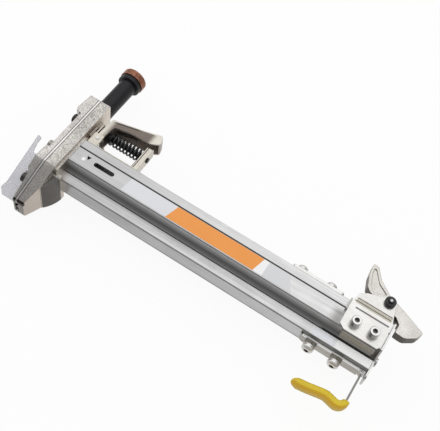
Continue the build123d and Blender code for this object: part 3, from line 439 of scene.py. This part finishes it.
# painted shade in the two rolled grooves
paint_box(bracket_sheet, (0.32, 0.315, 0.31), 0.75, Y=(73.1, 74.9, 0.2), X=(282.8, bracket_end, 0.4))
paint_box(bracket_sheet, (0.42, 0.385, 0.30), 0.75, Y=(78.2, 83.2, 0.9), X=(280.6, bracket_end, 0.4))
below_fold = (40.0, 51.9, 0.3)
paint_box(bracket_sheet, (0.30, 0.278, 0.245), 0.92, metallic=0.3, Y=below_fold, Z=(5.0, 18.7, 0.3))
paint_box(bracket_sheet, (0.05, 0.044, 0.038), 0.9, Y=below_fold, Z=(18.6, 20.6, 0.3))
# painted shade on the bracket's upright front tab
paint_box(bracket_sheet, (0.36, 0.35, 0.34), 0.8, X=(270.0, 277.7, 0.3))
tail_sheet = finish("plated tail sheet", (0.90, 0.895, 0.88), (0.70, 0.69, 0.67), size=900.0,
                    smooth=0.24, rough=0.4, edge=0.3)

# %% [markdown]
# Latch bracket and lever
#
# Both are bent from warm plated sheet. The bracket has two fine dark lines along its outer wall.
# The lever is a channel with sloping flanges, and its inside is in shade below a line that follows
# the slope. That line isn't square to any axis, so the depth below it is worked out first, as a
# sloping height minus the place, and a ramp over that depth gives the mask.

# %% Latch finishes
latch_sheet = finish("plated latch sheet", (0.74, 0.70, 0.62), (0.50, 0.465, 0.40), size=700.0,
                     smooth=0.22, rough=0.38, edge=0.3)
for low, high in ((57.9, 58.5), (59.4, 60.2)):
    paint_box(latch_sheet, dark_joint_and_shade, 0.95, X=(low, high, 0.12), Y=(82.0, 110.0, 0.4))
lever_sheet = finish("plated latch lever", (0.76, 0.73, 0.66), (0.56, 0.53, 0.47), size=700.0,
                     smooth=0.22, rough=0.38, edge=0.3)
lever_slope, lever_top = 0.25, 108.2
tree = lever_sheet.node_tree
slope = math_node(tree, "MULTIPLY", object_axis(lever_sheet, "X"), lever_slope)
depth = math_node(tree, "SUBTRACT", math_node(tree, "ADD", slope, lever_top * MM),
                  object_axis(lever_sheet, "Y"))
hollow = ramp_between(tree, depth, 1.1 * MM, 1.6 * MM)
line = math_node(tree, "MULTIPLY", hollow, ramp_between(tree, depth, 3.2 * MM, 2.5 * MM))
channel = patch(lever_sheet, band(lever_sheet, "Z", -0.5, 14.4, 0.2),
                not_facing(lever_sheet, "Y", 0.4))
near_flange = patch(lever_sheet, hollow, band(lever_sheet, "X", 21.0, 58.0, 3.0),
                    band(lever_sheet, "Z", 14.4, 16.0, 0.2))
# painted shade inside the channel and on the near flange below the sloping line
paint(lever_sheet, channel, (0.34, 0.285, 0.25), 0.9, metallic=0.2)
paint(lever_sheet, near_flange, (0.15, 0.12, 0.105), 0.92)
# painted shadow: a dark line under the lip of the near flange
paint(lever_sheet, patch(lever_sheet, line, band(lever_sheet, "X", 22.0, 44.0, 3.0)), dark_joint_and_shade, 0.8)

# %% [markdown]
# Beak and foot
#
# The beak is cast, ground flat on its broad faces and satin plated, and it is a little darker
# towards its thumb end. The narrow faces between the broad ones turn away from the light, so they
# are painted darker, as painted shade, and the lower ones darkest. Masks that read where a face
# looks find them on any outline. The foot is a flat bar with a painted highlight on its upper
# edge and painted shade on the face below it.

# %% Beak nickel
beak_nickel = finish("satin nickel casting", (0.88, 0.85, 0.81), (0.60, 0.575, 0.545),
                     size=1100.0, contrast=1.6, smooth=0.3, rough=0.46, bump=0.3, edge=0.9)
paint_box(beak_nickel, (0.70, 0.665, 0.615), 0.5, Y=(101.0, 125.0, 3.0))
beak_sides = patch(beak_nickel, *(not_facing(beak_nickel, "Z", 0.75, way) for way in (1, -1)))
beak_lower = patch(beak_nickel, beak_sides, facing(beak_nickel, "Y", 0.25, way=-1))
paint(beak_nickel, beak_sides, (0.26, 0.235, 0.205), 0.8)
paint(beak_nickel, beak_lower, (0.085, 0.07, 0.058), 0.92)

# %% Foot sheet
foot_sheet = finish("plated foot sheet", (0.62, 0.59, 0.54), (0.46, 0.435, 0.40), size=900.0,
                    smooth=0.28, rough=0.42, edge=0.2)
painted_edge_white = (1.0, 1.0, 0.99)
# painted highlight: the bar's upper edge is painted white, mirror on the face and matt on the top
edge_highlight = patch(foot_sheet, band(foot_sheet, "Z", 1.3, 5.0, 0.3),
                 band(foot_sheet, "X", 258.0, 314.0, 0.4), band(foot_sheet, "Y", 35.8, 39.0, 0.2))
edge_highlight_up = patch(foot_sheet, edge_highlight, facing(foot_sheet, "Z", 0.4))
paint(foot_sheet, edge_highlight, painted_edge_white, metallic=1.0)
paint(foot_sheet, edge_highlight_up, painted_edge_white, metallic=0.0)
# painted shade on the face of the bar below the edge
paint_box(foot_sheet, (0.16, 0.155, 0.15), 0.7, Y=(5.0, 35.0, 0.6))

# %% [markdown]
# Aluminium of the magazine
#
# The two profiles are extruded and satin anodised, so their streaks run along the length. The
# hollow cove between the body and the keel mirrors the room in front of the bench: it is light
# near its outer edge, darkest beside the keel, and ends in a thin dark line at the very edge. A
# plain mirror would need that room to be built, so a colour ramp across the cove draws it.

# %% Magazine finish
anodised = finish("satin anodised aluminium", grey(0.66), grey(0.56), size=500.0,
                  stretch=(0.02, 1, 1), contrast=2.4, smooth=0.3, rough=0.42, bump=0.04, edge=0.3)
tree = anodised.node_tree
cove_start, cove_end = 9.0, 20.0
fall = tree.nodes.new("ShaderNodeMapRange")
tree.links.new(math_node(tree, "ABSOLUTE", object_axis(anodised, "Z")), fall.inputs["Value"])
fall.inputs["From Min"].default_value = cove_start * MM
fall.inputs["From Max"].default_value = cove_end * MM
cove_ramp = tree.nodes.new("ShaderNodeValToRGB")
tree.links.new(fall.outputs["Result"], cove_ramp.inputs["Fac"])
cove_tones = [(0.0, 0.85), (0.03, 0.60), (0.08, 0.31), (0.30, 0.17), (0.55, 0.46), (0.82, 0.84),
              (0.92, 0.72), (1.0, 0.25)]
for place, tone in cove_tones[2:]:
    cove_ramp.color_ramp.elements.new(place)
for stop, (place, tone) in zip(cove_ramp.color_ramp.elements, cove_tones):
    stop.position = place
    stop.color = (*grey(tone), 1)
print("cove tones:", len(cove_ramp.color_ramp.elements))

# %% Painted shade along the length, and the cove let into it
# painted shade: the profiles are darker towards the front end and lighter towards the rear
front_shade, added_shade = 0.84, 0.44
bare_metallic, cove_loss = 0.9, 0.7
inside = band(anodised, "Y", 48.1, 53.3, 0.1)
along = ramp_between(tree, object_axis(anodised, "X"), -60 * MM, 400 * MM)
along = math_node(tree, "ADD", math_node(tree, "MULTIPLY", along, added_shade), front_shade)
span = math_node(tree, "SUBTRACT", cove_ramp.outputs["Color"], along)
total = math_node(tree, "ADD", math_node(tree, "MULTIPLY", span, inside), along)
tree.links.new(total, tree.nodes["tone"].inputs["Shade"])
satin = math_node(tree, "SUBTRACT", bare_metallic,
                  math_node(tree, "MULTIPLY", inside, cove_loss))
tree.links.new(satin, tree.nodes["Principled BSDF"].inputs["Metallic"])

# %% [markdown]
# Lines and wear on the magazine
#
# The two profiles touch along a fine dark joint, and their edges and the keel's corners hold
# narrow painted shadows. Near the rear bracket the metal carries painted shade from above, while
# the top of the keel carries a painted highlight. Each of these has a place of its own on the
# part, so each is one painted box.

# %% Joint, shaded edges and a painted highlight below the sight hole
paint_box(anodised, dark_joint_and_shade, 0.9, Y=(47.35, 48.55, 0.15))
# painted shadows along the edges and the keel's corners
paint_box(anodised, grey(0.10), 0.7, Y=(52.9, 53.9, 0.15), Z=(19.3, 20.4, 0.1))
paint_box(anodised, (0.16, 0.16, 0.15), 0.75, Y=(38.0, 38.9, 0.2), Z=(-9.4, -7.5, 2.0))
paint_box(anodised, grey(0.10), 0.8, Y=(38.0, 39.4, 0.2), Z=(8.1, 9.4, 0.2))
paint_box(anodised, grey(0.07), 0.75, Y=(69.0, 70.6, 0.2), Z=(18.0, 20.4, 0.2))
highlight_place = (24.1, 61.1)
# painted highlight: a small white spot where a ball catches the light
paint(anodised, spot(anodised, highlight_place, 1.6, 0.7), grey(1.0), metallic=0.0)

# %% Painted highlight and shadow at the rear
keel_top, keel_flat, keel_under = (8.7, 9.4, 0.2), (39.6, 47.2, 0.3), (38.0, 38.9, 0.2)
rear = (256.0, 317.0, 0.6)
# painted highlight: the top of the keel is painted white, bluish in front of the bracket
paint_box(anodised, (0.80, 0.81, 0.85), 0.7, metallic=0.6, X=(262.0, 284.0, 0.8), Z=keel_top,
      Y=keel_flat)
paint_box(anodised, grey(1.0), metallic=0.2, X=(284.2, 317.0, 0.4), Z=keel_top, Y=keel_flat)
# painted shade on the keel's lower face above the foot bar, darkest where they meet, and beside the
# bracket
paint_box(anodised, (0.17, 0.165, 0.15), 0.85, X=rear, Y=keel_under, Z=(3.8, 9.4, 0.3))
paint_box(anodised, dark_joint_and_shade, 0.85, X=rear, Y=keel_under, Z=(3.8, 5.4, 0.6))
paint_box(anodised, (0.12, 0.11, 0.095), 0.6, X=(270.0, 281.0, 5.0), Y=(52.0, 66.0, 3.0))
# painted shade: under the bracket the cove takes the brown-grey of the bracket's shaded skirt, with
# a near-black line along the joint and a dark patch at the rear end
paint_box(anodised, (0.34, 0.315, 0.275), 0.92, metallic=0.2, X=(283.0, 313.5, 0.8),
      Y=(49.4, 53.1, 0.2))
paint_box(anodised, (0.012, 0.011, 0.01), 0.95, X=(268.0, 318.0, 3.0), Y=(47.4, 49.1, 0.2))
paint_box(anodised, (0.07, 0.06, 0.058), 0.85, X=(312.0, 318.0, 1.0), Y=(47.4, 54.0, 0.3))

# %% [markdown]
# Rod, cap and wound steel
#
# The striking rod is blackened and polished, with faint streaks along its length. The cap is bare
# copper, dark and uneven from blows. The springs are dark drawn wire, and the blade is hardened
# and ground along its travel. All four are the same recipe with other numbers.

# %% Rod, cap, wire and blade
rod_black = finish("black polished rod", (0.022, 0.021, 0.024), (0.012, 0.011, 0.013),
                   metallic=0.2, size=400.0, stretch=(1, 0.05, 1), smooth=0.30, rough=0.42,
                   bump=0.03, edge=0.3, spec=0.28)
copper = finish("worn copper", (0.42, 0.19, 0.12), (0.15, 0.062, 0.04), size=420.0,
                contrast=2.2, smooth=0.28, rough=0.5, bump=0.15, edge=0.6)
spring_wire = finish("dark spring wire", (0.10, 0.10, 0.105), (0.03, 0.03, 0.032), metallic=0.8,
                     smooth=0.22, rough=0.4, edge=0)
blade_steel = finish("hardened blade steel", grey(0.62), grey(0.42), size=900.0,
                     stretch=(1, 0.05, 1), smooth=0.22, rough=0.34, edge=0.15)

# %% [markdown]
# Plastics
#
# The pusher is moulded black plastic. The foot's sleeve is a soft yellow coating that the prong
# is dipped in. Its lower faces, turned from the light, are painted a deeper ochre, and a duller tan
# further down, as painted shade on the faces that look that way. The sighting plate is a frosted
# clear sheet: it lets the ground through and keeps a pale grey of its own, which a rough
# transmission gives.

# %% Pusher, dipped coating and clear sheet
pusher_black = finish("moulded black plastic", grey(0.05), grey(0.025), metallic=0.0, size=2500.0,
                      smooth=0.4, rough=0.55, edge=0.2)
yellow_dip = finish("yellow dipped coating", (0.78, 0.585, 0.016), (0.68, 0.48, 0.012),
                    metallic=0.0, size=260.0, contrast=0.6, smooth=0.3, rough=0.45, bump=0.04,
                    edge=0.8)
turned = facing(yellow_dip, "Y", 0.25, way=-1)
ochre, tan = (0.64, 0.35, 0.012), (0.50, 0.36, 0.10)
# painted shade: faces turned from the light are painted ochre, and tan further down
paint(yellow_dip, patch(yellow_dip, turned, band(yellow_dip, "Z", -3.0, 5.0, 1.0)), ochre, 0.75)
paint(yellow_dip, patch(yellow_dip, turned, band(yellow_dip, "Z", -12.0, -3.0, 1.0)), tan, 0.6)
clear_sheet = finish("frosted clear sheet", (0.83, 0.83, 0.86), (0.77, 0.77, 0.81), metallic=0.0,
                     size=300.0, contrast=0.5, smooth=0.22, rough=0.34, bump=0.02, edge=0.2)
clear_shader = clear_sheet.node_tree.nodes["Principled BSDF"]
clear_shader.inputs["Transmission Weight"].default_value = 0.6
clear_shader.inputs["IOR"].default_value = 1.2

# %% [markdown]
# Dressing the solids
#
# Each solid of the CAD model is one real piece in one finish, so it gets one material. Its mesh
# and place stay untouched, because the joints and the sizes rest on them.

# %% Dress the CAD nodes
dress = {
    "head_base": head_steel, "guide_strips": strip_steel, "front_cover": cover_steel,
    "cover_screws": cover_screw, "clear_guide_plate": clear_sheet,
    "clear_plate_screws": bright_screw, "magazine_channel": anodised, "magazine_cover": anodised,
    "rail_clamp_strip": tail_sheet, "rail_clamp_screws": bright_screw,
    "rear_bracket": bracket_sheet, "bracket_washers": bright_screw,
    "bracket_screws": tall_screw, "beak_lever": beak_nickel, "beak_pin": pivot_screw,
    "end_plate": tail_sheet, "guide_rod": bright_screw, "pusher": pusher_black,
    "pusher_spring": spring_wire, "striking_rod": rod_black, "copper_cap": copper,
    "driver_blade": blade_steel, "blade_pin": blade_steel, "spring_seat": blade_steel,
    "return_spring": spring_wire, "latch_bracket": latch_sheet, "latch_screws": bright_screw,
    "latch_lever": lever_sheet, "latch_lever_pin": bright_screw, "latch_plunger": rod_black,
    "latch_spring": spring_wire, "foot_bar": foot_sheet, "foot_sleeve": yellow_dip,
    "foot_screws": round_screw, "foot_nuts": nut_steel,
}
for name, node in nodes.items():
    node.data.materials.clear()
    node.data.materials.append(dress[name])
print("dressed:", len(dress))

# %% [markdown]
# Wound springs
#
# A compression spring is a wire that turns about a line and climbs as it turns. A curve with a
# round section could do it, but the spin operator does just what the winder does: it carries a
# circle round an axis and moves it a little at each step.

# %% Piece and spring helpers
def make_piece(name, mesh, material, body):
    data = bpy.data.meshes.new(name)
    mesh.to_mesh(data)
    mesh.free()
    data.materials.append(material)
    piece = bpy.data.objects.new(name, data)
    bpy.context.scene.collection.objects.link(piece)
    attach(piece, body)
    print(name, "faces:", len(data.polygons))
    return piece


steps_per_turn = 20
wire_sides = 10


def coil(name, start, way, radius, wire, turns, length, body):
    mesh = bmesh.new()
    steps = steps_per_turn * turns
    bmesh.ops.create_circle(mesh, segments=wire_sides, radius=wire / 2)
    bmesh.ops.rotate(mesh, verts=mesh.verts, matrix=Matrix.Rotation(math.pi / 2, 3, "X"))
    bmesh.ops.translate(mesh, verts=mesh.verts, vec=(radius, 0, wire / 2))
    climb = (length - wire) / steps
    bmesh.ops.spin(mesh, geom=mesh.edges[:] + mesh.verts[:], cent=(0, 0, 0), axis=(0, 0, 1),
                   dvec=(0, 0, climb), angle=2 * math.pi * turns, steps=steps)
    bmesh.ops.holes_fill(mesh, edges=[e for e in mesh.edges if e.is_boundary], sides=0)
    turn = Vector((0, 0, 1)).rotation_difference(Vector(way)).to_matrix().to_4x4()
    bmesh.ops.transform(mesh, verts=mesh.verts, matrix=Matrix.Translation(start) @ turn)
    bmesh.ops.recalc_face_normals(mesh, faces=mesh.faces)
    for face in mesh.faces:
        face.smooth = len(face.verts) == 4
    return make_piece(name, mesh, spring_wire, body)


# %% Latch spring
latch_coil = coil("latch_coil", (27.62 * MM, 99.5 * MM, 7.0 * MM), (1, 0, 0), radius=5.1 * MM,
                  wire=1.7 * MM, turns=8, length=30.36 * MM, body="frame")
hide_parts("latch_spring")
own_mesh(latch_coil)

# %% Return spring
low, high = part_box("return_spring")
return_coil = coil("return_coil", (0, low.y, 0), (0, 1, 0), radius=6.8 * MM, wire=1.3 * MM,
                   turns=11, length=high.y - low.y, body="frame")
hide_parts("return_spring")
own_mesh(return_coil)

# %% Pusher spring
low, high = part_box("pusher_spring")
pusher_coil = coil("pusher_coil", (low.x, (low.y + high.y) / 2, 0), (1, 0, 0), radius=3.4 * MM,
                   wire=0.9 * MM, turns=36, length=high.x - low.x, body="tail")
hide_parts("pusher_spring")
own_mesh(pusher_coil)

# %% [markdown]
# Dipped sleeve on the foot
#
# The yellow grip is a plastic coating, made by dipping the warm prong. It has no edges: it is fat
# and round at the tip, where the drop hangs. Bevels on the solid would still leave flats between
# them. So the solid's surface is copied, its loose triangles are merged, and a voxel remesh with
# a few rounds of smoothing gives one soft skin.

# %% Sleeve skin
voxel, smooth_factor, smooth_rounds = 0.7 * MM, 0.5, 12
sleeve_data = nodes["foot_sleeve"].data.copy()
shape = bmesh.new()
shape.from_mesh(sleeve_data)
bmesh.ops.remove_doubles(shape, verts=shape.verts, dist=0.001 * MM)
shape.to_mesh(sleeve_data)
shape.free()
sleeve = bpy.data.objects.new("dipped_sleeve", sleeve_data)
bpy.context.scene.collection.objects.link(sleeve)
skin = sleeve.modifiers.new("skin", "REMESH")
skin.mode = "VOXEL"
skin.voxel_size = voxel
soften = sleeve.modifiers.new("soften", "SMOOTH")
soften.factor = smooth_factor
soften.iterations = smooth_rounds
bpy.context.view_layer.update()
depsgraph = bpy.context.evaluated_depsgraph_get()
round_data = bpy.data.meshes.new_from_object(sleeve.evaluated_get(depsgraph))
sleeve.modifiers.clear()
sleeve.data = round_data
print("sleeve skin:", len(round_data.polygons), "faces")

# %% [markdown]
# The dipped coat is fuller above the prong than the plain solid, because the drop runs to one
# side before it sets. Each point moves out along its normal, by more where it looks up. It never
# hangs lower than the solid, so the piece keeps the real size.

# %% Fuller coat
side_growth, upper_growth, lower_growth = 0.3, 1.1, 0.45
low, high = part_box("foot_sleeve")
for vert in round_data.vertices:
    normal = vert.normal
    fuller = upper_growth if normal.y > 0 else lower_growth
    vert.co += Vector((side_growth * normal.x, fuller * normal.y, side_growth * normal.z)) * MM
    vert.co.y = max(vert.co.y, low.y)
print("lowest point of the coat:", round(min(v.co.y for v in round_data.vertices) / MM, 2), "mm")

# %% [markdown]
# The last five millimetres are pulled onto half an ellipsoid round the prong's own line, as a
# square of clay is rounded between the fingers. The middles of two slabs of the sleeve give that
# line, so the tip follows the prong's slant. The skin that lies against the prong is left.

# %% Line of the prong at the tip
def slab_middle(start, end):
    slab = [v.co for v in round_data.vertices if start * MM < v.co.x < end * MM]
    return sum(slab, Vector()) / len(slab)


near, far = slab_middle(272.0, 275.0), slab_middle(279.0, 282.0)
along = Vector((far.x - near.x, far.y - near.y, 0)).normalized()
across = Vector((-along.y, along.x, 0))
tip_end = min((v.co - near).dot(along) for v in round_data.vertices if v.co.x < near.x)
print("prong line:", [round(v, 3) for v in along])

# %% Round tip
tip_length, half_thick, half_wide = 5.5 * MM, 3.65 * MM, 5.6 * MM
blend_share = 0.5
for vert in round_data.vertices:
    away = vert.co - near
    closeness = 1 - (away.dot(along) - tip_end) / tip_length
    if vert.co.x > far.x or closeness <= 0:
        continue
    thick, wide = away.dot(across), away.z
    from_middle = Vector((closeness, thick / half_thick, wide / half_wide))
    outward = Vector((-vert.normal.dot(along), vert.normal.dot(across), vert.normal.z))
    if outward.dot(from_middle) < 0:
        continue
    blend = min(1.0, closeness / blend_share)
    scale = 1 / ((1 - blend) + blend * from_middle.length)
    vert.co = near + along * (tip_end + tip_length * (1 - closeness * scale))
    vert.co += across * thick * scale
    vert.co.z = near.z + wide * scale
    vert.co.y = max(vert.co.y, low.y)
print("tip rounded over", round(tip_length / MM, 1), "mm")

# %% Hand the sleeve over
for face in round_data.polygons:
    face.use_smooth = True
round_data.materials.clear()
round_data.materials.append(yellow_dip)
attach(sleeve, "frame")
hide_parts("foot_sleeve")
print("sleeve faces:", len(round_data.polygons))

# %% [markdown]
# Labels
#
# Three plain paper labels lie end to end along the broad side of the magazine. Paper could be
# painted on the metal, but a real label has a thickness that catches light at its rim. Each one
# is a single face with the label's outline, extruded by a little more than a tenth of a
# millimetre.

# %% Paper finishes
def paper(name, light, dark):
    return finish(name, light, dark, metallic=0.0, size=900.0, contrast=0.4, smooth=0.4,
                  rough=0.5, bump=0.02, edge=0)


paper_white = paper("white label paper", (0.74, 0.75, 0.76), (0.70, 0.71, 0.72))
paper_blue = paper("pale blue label paper", (0.80, 0.805, 0.835), (0.76, 0.765, 0.80))
paper_orange = paper("orange label paper", (0.94, 0.36, 0.068), (0.90, 0.335, 0.06))
paint_box(paper_white, grey(0.97), X=(190.0, 205.5, 0.5))

# %% Lay the labels
broad_side, label_low, label_high = 20.0, 54.6, 68.9


def label(name, corners, thickness, material, body, slot_name):
    mesh = bmesh.new()
    verts = [mesh.verts.new((x * MM, y * MM, broad_side * MM)) for x, y in corners]
    face = mesh.faces.new(verts)
    raised = bmesh.ops.extrude_face_region(mesh, geom=[face])
    moved = [g for g in raised["geom"] if isinstance(g, bmesh.types.BMVert)]
    bmesh.ops.translate(mesh, verts=moved, vec=(0, 0, thickness * MM))
    bmesh.ops.recalc_face_normals(mesh, faces=mesh.faces)
    return make_piece(name, mesh, material, body)


for name, low_ends, high_ends, thickness, sheet in (
        ("front_label", (67, 112), (116, 69), 0.12, paper_blue),
        ("middle_label", (112, 197), (200.5, 116), 0.14, paper_orange),
        ("rear_label", (197, 233), (225, 200.5), 0.12, paper_white)):
    corners = [(x, label_low) for x in low_ends] + [(x, label_high) for x in high_ends]
    label(name, corners, thickness, sheet, "frame", "anodised")

# %% [markdown]
# Ground
#
# The ground is a white table. To the camera it glows by Light Path, so that it stays white without
# more light on the object, and it keeps the object's shadow. Metal mirrors it too, brighter behind
# the object, where the softbox hangs, than in front of it, where the room is dark. More lamps
# could whiten it, but they would bleach the pale metal as well.

# %% Floor mesh
floor_size, floor_gap = 4.0, 0.0005
floor_mesh = bmesh.new()
bmesh.ops.create_grid(floor_mesh, x_segments=2, y_segments=2, size=floor_size)
bmesh.ops.translate(floor_mesh, verts=floor_mesh.verts, vec=(0, 0, cad_low.z - floor_gap))
floor_data = bpy.data.meshes.new("ground")
floor_mesh.to_mesh(floor_data)
floor_mesh.free()
floor = bpy.data.objects.new("ground", floor_data)
bpy.context.scene.collection.objects.link(floor)
print("floor at", round((cad_low.z - floor_gap) / MM, 1), "mm")

# %% Floor material
def looked_at(tree, path):
    return math_node(tree, "MAXIMUM", path.outputs["Is Camera Ray"],
                     path.outputs["Is Transmission Ray"])


floor_white = 0.92
mirror_front, mirror_added = 0.47, 0.43
ground = bpy.data.materials.new("white ground")
ground.use_nodes = True
tree = ground.node_tree
base = tree.nodes["Principled BSDF"]
base.inputs["Base Color"].default_value = (*grey(floor_white), 1)
base.inputs["Roughness"].default_value = 0.9
base.inputs["Specular IOR Level"].default_value = 0.1
glow = tree.nodes.new("ShaderNodeEmission")
path = tree.nodes.new("ShaderNodeLightPath")
coords = tree.nodes.new("ShaderNodeTexCoord")
split = tree.nodes.new("ShaderNodeSeparateXYZ")
tree.links.new(coords.outputs["Object"], split.inputs[0])
behind = ramp_between(tree, split.outputs["Y"], -0.10, 0.16)
mirrored = math_node(tree, "MULTIPLY", behind, mirror_added)
mirrored = math_node(tree, "ADD", mirrored, mirror_front)
darker = math_node(tree, "SUBTRACT", mirrored, 1.0)
darker = math_node(tree, "MULTIPLY", darker, path.outputs["Is Glossy Ray"])
tree.links.new(math_node(tree, "ADD", darker, 1.0), glow.inputs["Strength"])
seen = math_node(tree, "MULTIPLY", looked_at(tree, path), floor_white)
seen = math_node(tree, "MAXIMUM", seen, path.outputs["Is Glossy Ray"])
mix = tree.nodes.new("ShaderNodeMixShader")
tree.links.new(seen, mix.inputs["Fac"])
tree.links.new(base.outputs["BSDF"], mix.inputs[1])
tree.links.new(glow.outputs["Emission"], mix.inputs[2])
tree.links.new(mix.outputs["Shader"], tree.nodes["Material Output"].inputs["Surface"])
floor_data.materials.append(ground)
floor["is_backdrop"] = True
print("ground:", ground.name)

# %% [markdown]
# World
#
# The world is the plain white room round the table. The camera sees it at full white, matt faces
# are lit by a little less, and metal mirrors it darker towards the front, as it would mirror a
# real room. A built room would do the same with many more pieces, so Light Path picks the level.

# %% World
lit_level, mirror_dark, mirror_range = 0.72, 0.18, 0.42
world = bpy.data.worlds.new("studio")
bpy.context.scene.world = world
world.use_nodes = True
tree = world.node_tree
sky = tree.nodes["Background"]
sky.inputs["Color"].default_value = (1.0, 1.0, 1.0, 1)
path = tree.nodes.new("ShaderNodeLightPath")
coords = tree.nodes.new("ShaderNodeTexCoord")
split = tree.nodes.new("ShaderNodeSeparateXYZ")
tree.links.new(coords.outputs["Generated"], split.inputs[0])
rise = math_node(tree, "MULTIPLY", split.outputs["Z"], 0.3)
lean = math_node(tree, "ADD", split.outputs["Y"], rise)
mirrored = ramp_between(tree, lean, -0.8, 0.75)
mirrored = math_node(tree, "ADD", math_node(tree, "MULTIPLY", mirrored, mirror_range), mirror_dark)
plain = math_node(tree, "MULTIPLY", looked_at(tree, path), 0.28)
plain = math_node(tree, "ADD", plain, lit_level)
change = math_node(tree, "SUBTRACT", mirrored, plain)
change = math_node(tree, "MULTIPLY", change, path.outputs["Is Glossy Ray"])
tree.links.new(math_node(tree, "ADD", plain, change), sky.inputs["Strength"])
print("world:", world.name)

# %% [markdown]
# Lamps
#
# A large softbox hangs above and behind the machine, and a small panel stands to its left. Large
# panels give the soft shadows and long even highlights that plated metal is photographed with,
# where a point lamp would give hard sparks. Their power is low, so that colours stay as written.

# %% Lamps
def panel(name, place, aim, size, power):
    data = bpy.data.lights.new(name, "AREA")
    data.shape = "RECTANGLE"
    data.size, data.size_y = size
    data.energy = power
    lamp = bpy.data.objects.new(name, data)
    bpy.context.scene.collection.objects.link(lamp)
    lamp.location = place
    lamp.rotation_mode = "QUATERNION"
    lamp.rotation_quaternion = (Vector(aim) - Vector(place)).to_track_quat("-Z", "Y")
    lamp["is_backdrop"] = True
    print("lamp:", name)


centre = (0.15, 0.07, 0.0)
panel("softbox", (-0.06, 0.66, 1.03), centre, (1.4, 1.4), 3.4)
panel("left side", (-0.9, 0.1, 0.6), centre, (0.5, 0.8), 1.2)

# %% [markdown]
# Camera
#
# The view looks down on the machine from the side of its nozzle and foot, with a long lens that
# keeps the rails nearly parallel. The camera could be aimed at a point, but its three directions
# were fitted to points of the machine, so they are given as they are and made into a rotation.

# %% Camera
camera_data = bpy.data.cameras.new("camera")
camera = bpy.data.objects.new("camera", camera_data)
bpy.context.scene.collection.objects.link(camera)
camera_data.sensor_width = 36.0
camera_data.lens = 66.87
right = Vector((0.8427, 0.5236, 0.1256))
down = Vector((0.5089, -0.6982, -0.5035))
forward = Vector((-0.1759, 0.4882, -0.8548))
turn = Matrix((right, -down, -forward)).transposed()
camera.rotation_mode = "QUATERNION"
camera.rotation_quaternion = turn.to_quaternion()
camera.location = (0.26904, -0.25164, 0.60518)
bpy.context.scene.camera = camera
bpy.context.scene.view_settings.view_transform = "Standard"
print("lens:", round(camera_data.lens, 2), "mm")

low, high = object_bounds()
print("visual box:", [round(v, 4) for v in (*low, *high)])
